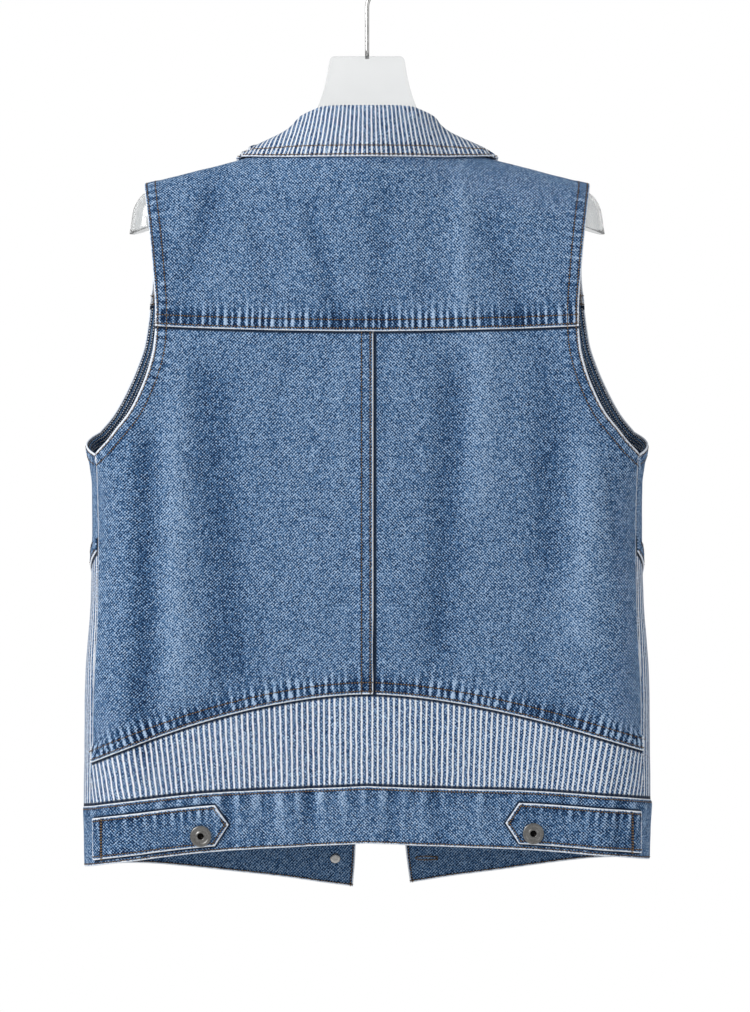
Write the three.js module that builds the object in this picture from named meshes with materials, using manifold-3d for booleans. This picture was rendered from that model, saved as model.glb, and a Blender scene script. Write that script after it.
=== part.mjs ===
// A sleeveless denim vest hung on a clear shoulder hanger, in millimetres, +Z up.
// The back of the vest faces -Y and the wearer's left is -X.
// The origin is the inside of the hook's top, where it bears on a rail.
// "drop" is the way down from a level that lies LEVEL under the origin, and "half" is the way out from x = 0.
import * as THREE from "three";
import { mergeVertices } from "three/addons/utils/BufferGeometryUtils.js";
import Module from "manifold-3d";

const LEVEL = 19;
const SEAM = 0.3; // the gap between pieces that are sewn together
const DENIM = 1.4; // one layer of cloth
const DOUBLED = 2.6; // a band, tab or collar of two layers
const BAND_OUTER = 2.0; // how far the outer face of a band stands off the inside of the panels

// The body that the panels lie on: its half width and half depth, going down.
const BODY = [
  { drop: 150, half: 236, depth: 37 },
  { drop: 198, half: 236, depth: 38 },
  { drop: 266, half: 237, depth: 39 },
  { drop: 317, half: 239, depth: 40 },
  { drop: 361, half: 242.5, depth: 41 },
  { drop: 398, half: 247, depth: 42 },
  { drop: 428, half: 249.3, depth: 42 },
  { drop: 445, half: 246.3, depth: 42 },
  { drop: 462, half: 244.2, depth: 42 },
  { drop: 515, half: 244, depth: 42 },
  { drop: 564, half: 245, depth: 43 },
  { drop: 609, half: 248.5, depth: 43 },
  { drop: 646, half: 250.2, depth: 43 },
  { drop: 740, half: 251.4, depth: 43 },
  { drop: 797, half: 250.5, depth: 42 },
  { drop: 835, half: 250, depth: 42 },
];
const SIDE_ROUND = 55; // width of the rounded stretch at each side
const BOW = 0.1; // how much deeper the middle of the back and front is than their sides
const FULL_DEPTH_DROP = 380; // below this the shoulders no longer narrow the body
const CROWN_POWER = 3.4; // how blunt the top of the shoulders is

// The ridge of the shoulders, out from the centre; inside the neck it only shapes the surface.
const RIDGE = [
  { half: 0, drop: 60 },
  { half: 40, drop: 118 },
  { half: 60, drop: 146 },
  { half: 76, drop: 161 },
  { half: 95, drop: 168 },
  { half: 116, drop: 174.3 },
  { half: 148, drop: 182.6 },
  { half: 198.3, drop: 195.2 },
];
const NECK_HALF = 76;
const NECK_TOP_DROP = 161;
const NECK_BACK_DIP = 6.8;
const NECK_FRONT_DIP = 76;
const SHOULDER_SEAM_FORWARD = 12; // the shoulder seam lies this far in front of the ridge

const ARMHOLE_BACK = [
  { drop: 195.2, half: 198.3 },
  { drop: 229, half: 193.5 },
  { drop: 266, half: 189.5 },
  { drop: 317, half: 186.3 },
  { drop: 340, half: 188 },
  { drop: 361, half: 193 },
  { drop: 381, half: 200.7 },
  { drop: 398, half: 209.5 },
  { drop: 414, half: 222 },
  { drop: 425, half: 231 },
  { drop: 433.6, half: 240 },
];
const ARMHOLE_FRONT = [
  { drop: 195.2, half: 198.3 },
  { drop: 229, half: 195 },
  { drop: 267, half: 193.4 },
  { drop: 300, half: 196 },
  { drop: 322, half: 198.8 },
  { drop: 336, half: 201.2 },
  { drop: 356, half: 207.9 },
  { drop: 377, half: 216.9 },
  { drop: 398, half: 228 },
  { drop: 414, half: 240 },
];
// The armhole's lowest stretch, which goes round the side from the front to the top of the side seam.
const UNDERARM = [
  { drop: 421.5, girth: 286 },
  { drop: 427.5, girth: 271 },
  { drop: 431.5, girth: 256 },
];
const SIDE_SEAM = [
  { drop: 433.6, half: 240 },
  { drop: 476, half: 238.5 },
  { drop: 518, half: 238 },
  { drop: 564, half: 238.4 },
  { drop: 599, half: 239.7 },
  { drop: 655, half: 242.4 },
  { drop: 745, half: 243.5 },
];
const CENTRE_SEAM_X = 5.3;
const FRONT_YOKE_DROP = 300;
const FRONT_YOKE_SAG = 8;
const SLANT_SIDE_DROP = 520; // the front's slanted seam, at the side and how much lower at the placket
const SLANT_FALL = 105;

// The two front edges, which hang apart: x of the wearer's left one and right one.
const OPENING = [
  { drop: 160, left: -9, right: 9 },
  { drop: 300, left: -9, right: 11 },
  { drop: 520, left: -8, right: 20 },
  { drop: 720, left: -9, right: 29 },
  { drop: 790, left: -10.5, right: 34.5 },
  { drop: 835, left: -13.7, right: 40.5 },
];
const PLACKET_WIDTH = 36;

// The lower edge of the waistband below its centre back, by the way round from there.
const HEM_CENTRE_DROP = 777.6;
const HEM = [
  { girth: 0, fall: 0 },
  { girth: 136, fall: 6.6 },
  { girth: 182, fall: 11 },
  { girth: 225, fall: 16.5 },
  { girth: 246, fall: 19.3 },
  { girth: 270, fall: 21.4 },
  { girth: 333, fall: 23.8 },
  { girth: 355, fall: 25.4 },
  { girth: 391, fall: 29.4 },
  { girth: 419, fall: 33 },
  { girth: 467, fall: 39 },
  { girth: 509, fall: 45.3 },
  { girth: 545, fall: 50 },
];
const BAND_HEIGHT = 50;
const BAND_SIDE_EXTRA = 3;
const TAB_TIP = 121.5;
const TAB_CORNER = 133.5;
const TAB_END = 240.8;
// The ways round from the centre back at which the hem's pieces have their points.
const HEM_TO_TAB = [0, 18, 36, 54, 72, 90, 106, TAB_TIP, TAB_CORNER];
const HEM_TO_SEAM = [...HEM_TO_TAB, 151, 169, 187, 202, 213, 223, 232, TAB_END];
const HEM_TO_FRONT = [254, 264, 275, 286, 297, 308, 319, 332, 348, 366, 386, 406, 426, 446, 466, 486];

// The vest hangs a little lower on the wearer's left, and its curved seam more so.
const LEAN = 3.2;
const LEAN_FROM = 500;
const LEAN_FULL = 700;
const INSERT_LEAN = 2;

// The soft folds of the back: each runs from one point to another and fades at both ends.
const FOLDS = [
  { x0: -138, drop0: 212, x1: -168, drop1: 300, width: 11, height: -2.6 },
  { x0: -50, drop0: 225, x1: -24, drop1: 318, width: 8, height: -2.0 },
  { x0: 14, drop0: 215, x1: 12, drop1: 315, width: 12, height: -1.4 },
  { x0: 84, drop0: 200, x1: 83, drop1: 318, width: 9, height: 2.0 },
  { x0: 108, drop0: 240, x1: 136, drop1: 310, width: 12, height: -1.6 },
  { x0: -195, drop0: 430, x1: -196, drop1: 690, width: 13, height: -3.6 },
  { x0: -171, drop0: 380, x1: -168, drop1: 640, width: 14, height: 2.4 },
  { x0: -140, drop0: 375, x1: -118, drop1: 620, width: 20, height: -3.0 },
  { x0: 74, drop0: 380, x1: 62, drop1: 600, width: 15, height: -2.8 },
  { x0: 103, drop0: 335, x1: 98, drop1: 470, width: 14, height: 2.2 },
  { x0: 162, drop0: 350, x1: 160, drop1: 520, width: 16, height: -2.6 },
  { x0: 194, drop0: 440, x1: 190, drop1: 590, width: 16, height: 2.4 },
];

const COLLAR_FOLD_RADIUS = 2.3;
// The ways round the neckline, in degrees from the centre back, at which the collar has its points.
const COLLAR_TURNS_BACK = [0, 10, 20, 30, 40, 50, 60, 68, 75, 81, 86, 90];
const COLLAR_TURNS = [...COLLAR_TURNS_BACK, 94, 99, 105, 112, 120, 130, 140, 150, 162, 173];
const COLLAR = [
  { turn: 0, stand: 36.6, edgeHalf: 0, edgeDrop: 173.4 },
  { turn: 12, stand: 36.5, edgeHalf: 16.8, edgeDrop: 173.4 },
  { turn: 30, stand: 34.6, edgeHalf: 42, edgeDrop: 173.4 },
  { turn: 45, stand: 29, edgeHalf: 63, edgeDrop: 173.4 },
  { turn: 60, stand: 23.5, edgeHalf: 84, edgeDrop: 173.4 },
  { turn: 75, stand: 17.5, edgeHalf: 101, edgeDrop: 173 },
  { turn: 90, stand: 13.5, edgeHalf: 111, edgeDrop: 172.9 },
  { turn: 120, stand: 11, edgeHalf: 106, edgeDrop: 206 },
  { turn: 150, stand: 9, edgeHalf: 86, edgeDrop: 254 },
  { turn: 173, stand: 7, edgeHalf: 62, edgeDrop: 292 },
];
const COLLAR_LEAN = { side: 14, back: 5, front: 2 }; // how far the stand leans in by its fold

const FACING_WIDTH = 12;
const FACING = 1.0;
const FACING_UNDER = 1.25; // how far the facings lie under the panels
const TAB = { top: 0.2, bottom: 0.9, thick: 2.2 }; // shares of the band's height, and its thickness
const TAB_BUTTON_HALF = 145.8;
const TAB_BUTTON_DROP = 769.6;
const BUTTON_RADIUS = 9.4;
const BUTTON_THICK = 3.4;
const FRONT_BUTTONS = 6;
const FIRST_BUTTON_DROP = 258;
const LAST_BUTTON_DROP = 800;
const TACK_RADIUS = 4.7;
const TACK_THICK = 1.5;

const WIRE_RADIUS = 1.9;
const HOOK_INNER_RADIUS = 19;
const HOOK_OPENING_TURN = 208; // degrees from +X, round over the top, to the hook's end
const NECK_PLATE_DROP = 80;
const NECK_PLATE_THICK = 6.4;
const SHANK_SEAT = 10; // how deep the shank sits in the plate
const HANGER_WALL = 2.6;
// How far the hanger lies under the inside of the cloth: along the shoulders, and by the facings.
const HANGER_UNDER = { shoulder: 1.2, tip: FACING + FACING_UNDER + 1.6, from: 125, to: 165 };
const HANGER_ARM = { halfDepth: 18, leg: 30, tipLeg: 21 };
const HANGER_TIP = { bendFrom: 187, bendRadius: 30, bendTo: 82, tail: 18, endCut: 107 };

const clamp = (value, low, high) => Math.min(high, Math.max(low, value));
const mix = (a, b, share) => a + (b - a) * share;
const degrees = THREE.MathUtils.degToRad;
const point = (x, y, z) => new THREE.Vector3(x, y, z);

// A column of a table read between its rows, as a smooth curve that never overshoots them.
function reading(table, column, at, key = "drop") {
  const last = table.length - 1;
  const slope = (i) => (table[i + 1][column] - table[i][column]) / (table[i + 1][key] - table[i][key]);
  const tangent = (i) => {
    if (i === 0 || i === last) return slope(i === 0 ? 0 : last - 1);
    const before = slope(i - 1);
    const after = slope(i);
    return before * after <= 0 ? 0 : (2 * before * after) / (before + after);
  };
  const x = clamp(at, table[0][key], table[last][key]);
  let i = 0;
  while (i < last - 1 && x > table[i + 1][key]) i += 1;
  const span = table[i + 1][key] - table[i][key];
  const f = (x - table[i][key]) / span;
  const rise = f * f * (3 - 2 * f);
  return (
    mix(table[i][column], table[i + 1][column], rise) +
    span * (f * (1 - f) * (1 - f) * tangent(i) - f * f * (1 - f) * tangent(i + 1))
  );
}

// The body's level section at a height: a flat back and front joined by rounded sides.
function sectionAt(drop) {
  const half = reading(BODY, "half", drop);
  const depth = reading(BODY, "depth", drop);
  const bend = Math.hypot(SIDE_ROUND, depth) / Math.SQRT2;
  return { half, depth, flat: half - SIDE_ROUND, bend };
}

const ridgeDrop = (half) => reading(RIDGE, "drop", Math.abs(half), "half");

// 0 where the body has its full depth and 1 on the ridge of the shoulders.
function crownShare(half, drop) {
  return Math.max(0, (FULL_DEPTH_DROP - drop) / (FULL_DEPTH_DROP - ridgeDrop(half)));
}

function bowedDepth(half, section) {
  const inside = 1 - Math.min(1, (half / section.flat) ** 2);
  return section.depth * (1 + BOW * inside * inside);
}

// The way round the body from the centre back to a half width, on the back or on the front.
function girthAt(half, drop, onFront) {
  const { flat, bend } = sectionAt(drop);
  if (half <= flat) return onFront ? 2 * flat + Math.PI * bend - half : half;
  const turn = Math.asin(Math.min(1, (half - flat) / SIDE_ROUND));
  return flat + bend * (onFront ? Math.PI - turn : turn);
}

// The body's surface by the way round and the drop, on the side of x that is asked for.
function bodyPoint(girth, drop, side) {
  const section = sectionAt(drop);
  const { flat, bend } = section;
  const turn = clamp((girth - flat) / bend, 0, Math.PI);
  let half = flat + SIDE_ROUND * Math.sin(turn);
  if (girth < flat) half = girth;
  if (girth > flat + Math.PI * bend) half = 2 * flat + Math.PI * bend - girth;
  const fade = Math.sqrt(Math.max(0, 1 - crownShare(half, drop) ** CROWN_POWER));
  return point(side * half, -Math.cos(turn) * bowedDepth(half, section) * fade, -drop);
}

// Negative inside the body and positive outside it.
function bodyLevel(x, y, z) {
  const section = sectionAt(-z);
  const half = Math.abs(x);
  const sideShare = Math.max(0, (half - section.flat) / SIDE_ROUND);
  const crown = crownShare(half, -z) ** CROWN_POWER;
  return (y / bowedDepth(half, section)) ** 2 - (1 - sideShare ** 2) * (1 - crown);
}

function bodySlope({ x, y, z }) {
  const e = 0.05;
  return point(
    bodyLevel(x + e, y, z) - bodyLevel(x - e, y, z),
    bodyLevel(x, y + e, z) - bodyLevel(x, y - e, z),
    bodyLevel(x, y, z + e) - bodyLevel(x, y, z - e),
  ).divideScalar(2 * e);
}

const bodyNormal = (p) => bodySlope(p).normalize();

// Moves a nearby point onto the body's surface.
function settle(p) {
  const found = p.clone();
  for (let i = 0; i < 6; i += 1) {
    const slope = bodySlope(found);
    found.addScaledVector(slope, -bodyLevel(found.x, found.y, found.z) / slope.lengthSq());
  }
  return found;
}

// How far the soft folds of the back stand out at a point; they die out towards the stiff armhole.
function foldHeight(p) {
  if (p.y > 0) return 0;
  const underArmhole = Math.max(0, -p.z - 434);
  const fromArmhole = armholeBack(-p.z) - Math.abs(p.x) + underArmhole - 10;
  return clamp(p.z < -480 ? 1 : fromArmhole / 40, 0, 1) * FOLDS.reduce((sum, fold) => {
    const run = fold.drop1 - fold.drop0;
    const along = (-p.z - fold.drop0) / run;
    const across = (p.x - mix(fold.x0, fold.x1, clamp(along, 0, 1))) / fold.width;
    const past = Math.max(0, -along, along - 1) * run;
    return sum + fold.height * Math.exp(-across * across - (past / 22) ** 2);
  }, 0);
}

// A point of cloth: off the body's surface by a distance, with the folds and the lean of the hanging vest.
function clothPoint(base, off) {
  const normal = bodyNormal(base);
  const moved = base.clone().addScaledVector(normal, off + foldHeight(base));
  const ramp = clamp((-base.z - LEAN_FROM) / (LEAN_FULL - LEAN_FROM), 0, 1);
  const out = clamp(base.x / 240, -1, 1);
  moved.z += LEAN * out * Math.abs(out) * ramp * ramp * (3 - 2 * ramp);
  return moved;
}

// A closed mesh from vertices and faces, turned so that its faces point out.
function closedGeometry(vertices, faces) {
  const volume = faces.reduce((sum, [a, b, c]) => {
    const cross = vertices[b].clone().cross(vertices[c]);
    return sum + vertices[a].dot(cross);
  }, 0);
  const ordered = volume < 0 ? faces.map(([a, b, c]) => [a, c, b]) : faces;
  const geometry = new THREE.BufferGeometry().setFromPoints(vertices);
  geometry.setIndex(ordered.flat());
  geometry.computeVertexNormals();
  return geometry;
}

// A wall between two equal grids of points, closed all round.
function wallBetween(outer, inner) {
  const rows = outer.length;
  const columns = outer[0].length;
  const vertices = [...outer.flat(), ...inner.flat()];
  const at = (i, j, layer) => layer * rows * columns + i * columns + j;
  const faces = [];
  const quad = (a, b, c, d) => faces.push([a, b, c], [a, c, d]);
  for (let i = 0; i < rows - 1; i += 1) {
    for (let j = 0; j < columns - 1; j += 1) {
      quad(at(i, j, 0), at(i + 1, j, 0), at(i + 1, j + 1, 0), at(i, j + 1, 0));
      quad(at(i, j, 1), at(i, j + 1, 1), at(i + 1, j + 1, 1), at(i + 1, j, 1));
    }
    quad(at(i, 0, 0), at(i, 0, 1), at(i + 1, 0, 1), at(i + 1, 0, 0));
    quad(at(i, columns - 1, 0), at(i + 1, columns - 1, 0), at(i + 1, columns - 1, 1), at(i, columns - 1, 1));
  }
  for (let j = 0; j < columns - 1; j += 1) {
    quad(at(0, j, 0), at(0, j + 1, 0), at(0, j + 1, 1), at(0, j, 1));
    quad(at(rows - 1, j, 0), at(rows - 1, j, 1), at(rows - 1, j + 1, 1), at(rows - 1, j + 1, 0));
  }
  return closedGeometry(vertices, faces);
}

// A grid of points from a function of the shares down and across.
function grid(down, across, at) {
  const even = (count) => Array.from({ length: count + 1 }, (_, i) => i / count);
  const shares = (list) => (Array.isArray(list) ? list : even(list));
  return shares(down).map((b) => shares(across).map((a) => at(a, b)));
}

// A piece of cloth whose points lie on the body: base(a, b) gives them, and it stands off by inner to outer.
function clothWall(down, across, base, inner = 0, outer = DENIM) {
  const bases = grid(down, across, base);
  const layer = (off) => bases.map((row) => row.map((p) => clothPoint(p, off)));
  return wallBetween(layer(outer), layer(inner));
}

// A wall of even thickness about a grid that runs down its middle.
function wallAbout(middle, thick) {
  const rows = middle.length;
  const columns = middle[0].length;
  const normal = (i, j) => {
    const along = middle[Math.min(i + 1, rows - 1)][j].clone().sub(middle[Math.max(i - 1, 0)][j]);
    const across = middle[i][Math.min(j + 1, columns - 1)].clone().sub(middle[i][Math.max(j - 1, 0)]);
    return along.cross(across).normalize();
  };
  const moved = (p, i, j, off) => p.clone().addScaledVector(normal(i, j), off);
  const layer = (off) => middle.map((row, i) => row.map((p, j) => moved(p, i, j, off)));
  return wallBetween(layer(thick / 2), layer(-thick / 2));
}

// The neckline's drop at a half width, on the back or on the front.
function necklineDrop(half, onFront) {
  const inside = 1 - Math.min(1, (half / NECK_HALF) ** 2);
  return NECK_TOP_DROP + inside * (onFront ? NECK_FRONT_DIP : NECK_BACK_DIP);
}

// The surface near the shoulders by an angle over the ridge: below 0 on the front and above 0 on the back.
const crownTurnAt = (half, drop) => Math.acos(Math.min(1, crownShare(half, drop)) ** (CROWN_POWER / 2));
const seamTurn = Math.asin(SHOULDER_SEAM_FORWARD / 38);
function crownPoint(half, turn, side) {
  const share = Math.cos(turn) ** (2 / CROWN_POWER);
  const drop = FULL_DEPTH_DROP - share * (FULL_DEPTH_DROP - ridgeDrop(half));
  return bodyPoint(girthAt(half, drop, turn < 0), drop, side);
}

const armholeBack = (drop) => reading(ARMHOLE_BACK, "half", drop);
const armholeFront = (drop) => reading(ARMHOLE_FRONT, "half", drop);
const sideSeam = (drop) => reading(SIDE_SEAM, "half", drop);
const sideSeamGirth = (drop) => girthAt(sideSeam(drop), drop, false);
const SIDE_SEAM_GIRTH = sideSeamGirth(SIDE_SEAM.at(-1).drop);
const backYokeDrop = (x) => 326 - 4.6 * (x / 185) ** 2;
const hemDrop = (girth) => HEM_CENTRE_DROP + reading(HEM, "fall", girth, "girth");
function bandTopDrop(girth) {
  return hemDrop(girth) - BAND_HEIGHT - BAND_SIDE_EXTRA * Math.sin((girth / 540) * Math.PI) ** 2;
}
function hemInsertDrop(half, side) {
  const out = half / 239;
  return 644.8 + 55.4 * Math.abs(out) ** 1.7 - side * INSERT_LEAN * out ** 3;
}

// The half widths of a yoke's points along its neckline and shoulder seam.
function yokeTops(neckHalves, tip) {
  const onSeam = [0, 0.16, 0.32, 0.48, 0.64, 0.8, 0.92, 1].map((share) => mix(NECK_HALF + 0.2, tip, share));
  return [...neckHalves, ...onSeam];
}

// Back yoke: from the shoulder seams, which lie in front of the ridge, and the neckline down to its seam.
function backYoke() {
  const tip = ARMHOLE_BACK[0].half;
  const neck = [0, 14, 28, 42, 56, 68, 80].map((turn) => NECK_HALF * Math.sin(degrees(turn)));
  const tops = yokeTops(neck, tip);
  const last = tops.length - 1;
  const across = Array.from({ length: 2 * last + 1 }, (_, i) => i - last);
  const down = [0, 0.07, 0.15, 0.24, 0.34, 0.46, 0.6, 0.8, 1];
  return clothWall(down, across, (column, b) => {
    const side = column < 0 ? -1 : 1;
    const topHalf = tops[Math.abs(column)];
    const onNeck = topHalf < NECK_HALF;
    const topTurn = onNeck ? crownTurnAt(topHalf, necklineDrop(topHalf, false)) : -seamTurn;
    const size = mix(topHalf / tip, Math.abs(column) / last, b);
    let half = size * tip;
    let base = point(0, 0, 0);
    for (let i = 0; i < 4; i += 1) {
      const bottomTurn = crownTurnAt(half, backYokeDrop(half) - SEAM / 2);
      base = crownPoint(half, mix(topTurn, bottomTurn, b), side);
      half = size * armholeBack(-base.z);
    }
    return base;
  });
}

// The drop at which the back of the armhole, below the yoke, passes a half width.
function armholeDropAt(half) {
  let high = 317;
  let low = ARMHOLE_BACK.at(-1).drop;
  for (let i = 0; i < 24; i += 1) {
    const middle = (high + low) / 2;
    if (armholeBack(middle) < half) high = middle;
    else low = middle;
  }
  return (high + low) / 2;
}

// Back panels: from the yoke seam and the armhole to the curved seam, between the centre and side seams.
function backPanel(side) {
  const underarm = 240;
  const corner = 186.6;
  const inner = side * CENTRE_SEAM_X + SEAM / 2;
  const underYoke = Array.from({ length: 14 }, (_, i) => mix(inner, corner, i / 13));
  const underArmhole = [188, 190.5, 194, 199, 205, 212, 220, 230, underarm];
  const down = [0, 0.08, 0.17, 0.26, 0.36, 0.47, 0.59, 0.72, 0.86, 1];
  return clothWall(down, [...underYoke, ...underArmhole], (column, b) => {
    const top = column > corner ? armholeDropAt(column) : backYokeDrop(column) + SEAM / 2;
    let half = column;
    let drop = top;
    for (let i = 0; i < 4; i += 1) {
      drop = mix(top, hemInsertDrop(half, side) - SEAM / 2, b);
      const spread = (sideSeam(drop) - SEAM / 2 - corner) / (underarm - corner);
      if (column > corner) half = corner + (column - corner) * spread;
    }
    return bodyPoint(girthAt(half, drop, false), drop, side);
  });
}

// The striped insert between the curved seam and the waistband, across the whole back.
function hemInsert() {
  const out = [...HEM_TO_SEAM, SIDE_SEAM_GIRTH];
  const stations = [...out.slice(1).map((girth) => -girth).reverse(), ...out];
  return clothWall(3, stations, (signed, b) => {
    const side = signed < 0 ? -1 : 1;
    const share = Math.abs(signed) / SIDE_SEAM_GIRTH;
    let girth = Math.abs(signed);
    let drop = 720;
    for (let i = 0; i < 4; i += 1) {
      const half = Math.abs(bodyPoint(girth, drop, 1).x);
      drop = mix(hemInsertDrop(half, side) + SEAM / 2, bandTopDrop(girth) - SEAM / 2, b);
      girth = share * (sideSeamGirth(drop) - SEAM / 2);
    }
    return bodyPoint(girth, drop, side);
  });
}

// The girth and drop of the front opening's edge or of the placket's other edge.
function frontEdge(drop, side, inset) {
  const x = reading(OPENING, side < 0 ? "left" : "right", drop);
  return girthAt(0, drop, true) - side * x - inset;
}

const frontYokeDrop = (half) => FRONT_YOKE_DROP + FRONT_YOKE_SAG * (1 - half / 195);

// The armhole's front stretch and the side seam as one line, in girth and drop, down from the yoke's seam.
function frontOuterLine() {
  const onFront = [FRONT_YOKE_DROP, 318, 335, 352, 368, 384, 399, 414].map((drop) => {
    return { drop, girth: girthAt(armholeFront(drop), drop, true) };
  });
  const onSeam = [SIDE_SEAM[0].drop, 455, 477, 499, SLANT_SIDE_DROP].map((drop) => {
    return { drop, girth: sideSeamGirth(drop) };
  });
  return [...onFront, ...UNDERARM, ...onSeam];
}

// The front's slanted seam: its drop by the share of the way from the side seam to the placket.
const slantDrop = (share) => SLANT_SIDE_DROP + SLANT_FALL * Math.sin((share * Math.PI) / 2);

function frontYoke(side) {
  const placket = (drop) => girthAt(0, drop, true) - frontEdge(drop, side, PLACKET_WIDTH + SEAM);
  const innerTop = placket(220);
  const tip = ARMHOLE_FRONT[0].half;
  const tops = yokeTops([0, 0.35, 0.65, 0.9].map((share) => mix(innerTop, NECK_HALF, share)), tip);
  const last = tops.length - 1;
  const across = tops.map((_, i) => i);
  const down = [0, 0.12, 0.25, 0.4, 0.58, 0.78, 1];
  return clothWall(down, across, (column, b) => {
    const topHalf = tops[column];
    const onNeck = topHalf < NECK_HALF;
    const topTurn = onNeck ? crownTurnAt(topHalf, necklineDrop(topHalf, true)) : seamTurn + SEAM / 38;
    const a = mix((topHalf - innerTop) / (tip - innerTop), column / last, b);
    let half = mix(innerTop, tip, a);
    let base = point(0, 0, 0);
    for (let i = 0; i < 4; i += 1) {
      const bottomTurn = crownTurnAt(half, frontYokeDrop(half) - SEAM / 2);
      base = crownPoint(half, -mix(topTurn, bottomTurn, b), side);
      half = mix(placket(-base.z), armholeFront(-base.z), a);
    }
    return base;
  });
}

function frontChest(side) {
  const outer = frontOuterLine();
  return clothWall(outer.length - 1, 14, (a, b) => {
    const start = outer[Math.round(b * (outer.length - 1))];
    const onSeam = start.drop >= SIDE_SEAM[0].drop;
    const startGirth = start.girth + (onSeam ? SEAM / 2 : 0);
    const startDrop = start.drop + SEAM / 2 - b * SEAM;
    const innerDrop = mix(frontYokeDrop(45) + SEAM / 2, slantDrop(1) - SEAM / 2, b);
    const drop = b === 1 ? slantDrop(a) - SEAM / 2 : mix(startDrop, innerDrop, a);
    const topped = b === 0 ? frontYokeDrop(mix(195, 45, a)) + SEAM / 2 : drop;
    const girth = mix(startGirth, frontEdge(innerDrop, side, PLACKET_WIDTH + SEAM), a);
    return bodyPoint(girth, topped, side);
  });
}

function frontLower(side) {
  return clothWall(6, [SIDE_SEAM_GIRTH, ...HEM_TO_FRONT, 508], (station, b) => {
    const a = (station - SIDE_SEAM_GIRTH) / (508 - SIDE_SEAM_GIRTH);
    let drop = mix(slantDrop(a), 750, b);
    let girth = station;
    for (let i = 0; i < 6; i += 1) {
      girth = mix(sideSeamGirth(drop) + SEAM / 2, frontEdge(drop, side, PLACKET_WIDTH + SEAM), a);
      drop = mix(slantDrop(a) + SEAM / 2, bandTopDrop(girth) - SEAM / 2, b);
    }
    return bodyPoint(girth, drop, side);
  });
}

// The folded band along a front edge, from the neckline to the waistband.
function placket(side) {
  return clothWall(22, 3, (a, b) => {
    const inset = mix(PLACKET_WIDTH, 0, a);
    const across = Math.abs(girthAt(0, 220, true) - frontEdge(220, side, inset));
    const top = necklineDrop(across, true);
    const bottom = bandTopDrop(frontEdge(770, side, inset)) - SEAM / 2;
    const drop = mix(top, bottom, b);
    return bodyPoint(frontEdge(drop, side, inset), drop, side);
  }, BAND_OUTER - DOUBLED, BAND_OUTER);
}

// The waistband, all round from one front edge to the other.
function waistband() {
  const out = [...HEM_TO_SEAM, ...HEM_TO_FRONT];
  const toEdge = [0.35, 0.6, 0.8, 1];
  const stations = [...toEdge.map((share) => -share).reverse(), ...out.slice(1).map((g) => -g).reverse()];
  stations.push(...out, ...toEdge);
  return clothWall(3, stations, (signed, b) => {
    const side = signed < 0 ? -1 : 1;
    const size = Math.abs(signed);
    let level = 800;
    let girth = size;
    for (let i = 0; i < 5; i += 1) {
      const edge = frontEdge(level, side, 0);
      if (size > 0 && size <= 1) girth = mix(HEM_TO_FRONT.at(-1), edge, size);
      level = mix(bandTopDrop(girth) + SEAM / 2, hemDrop(girth), b);
    }
    return bodyPoint(girth, level, side);
  }, BAND_OUTER - DOUBLED, BAND_OUTER);
}

// An adjuster tab, sewn down at the side and pointed towards the centre back, lying on the waistband.
function tab(side) {
  const from = HEM_TO_SEAM.indexOf(TAB_CORNER);
  const stations = [TAB_TIP, ...HEM_TO_SEAM.slice(from)];
  return clothWall(4, stations, (station, b) => {
    const girth = station === TAB_TIP ? mix(TAB_CORNER - 0.2, TAB_TIP, 1 - Math.abs(2 * b - 1)) : station;
    const drop = mix(bandTopDrop(girth), hemDrop(girth), mix(TAB.top, TAB.bottom, b));
    return bodyPoint(girth, drop, side);
  }, BAND_OUTER + SEAM, BAND_OUTER + SEAM + TAB.thick);
}

// The facing inside an armhole: a strip along its edge, under the panels, open at the shoulder seam.
function armholeFacing(side) {
  const line = [];
  for (let i = 0; i <= 5; i += 1) line.push(crownPoint(198.3 - 0.5 * i, mix(-seamTurn, 0.75, i / 5), side));
  for (const drop of [232, 250, 268, 286, 304, 322, 338, 353, 367, 380, 391, 401, 410, 418, 425.5]) {
    line.push(bodyPoint(girthAt(armholeBack(drop), drop, false), drop, side));
  }
  for (const { drop, girth } of frontOuterLine().slice(1, 12).reverse()) {
    line.push(bodyPoint(girth, drop, side));
  }
  for (const drop of [FRONT_YOKE_DROP, 284, 267, 250, 234]) {
    line.push(bodyPoint(girthAt(armholeFront(drop), drop, true), drop, side));
  }
  for (let i = 0; i <= 4; i += 1) {
    line.push(crownPoint(196.5 + 0.4 * i, -mix(0.72, seamTurn + SEAM / 19, i / 4), side));
  }
  const inwards = line.map((p, i) => {
    const along = line[Math.min(i + 1, line.length - 1)].clone().sub(line[Math.max(i - 1, 0)]);
    return bodyNormal(p).cross(along).normalize().multiplyScalar(-side);
  });
  const rows = line.map((p, i) => [0.3, 0.5, 1].map((share) => {
    return settle(p.clone().addScaledVector(inwards[i], share * FACING_WIDTH));
  }));
  const layer = (off) => rows.map((row) => row.map((p) => clothPoint(p, off)));
  return wallBetween(layer(-FACING_UNDER), layer(-FACING_UNDER - FACING));
}

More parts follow.
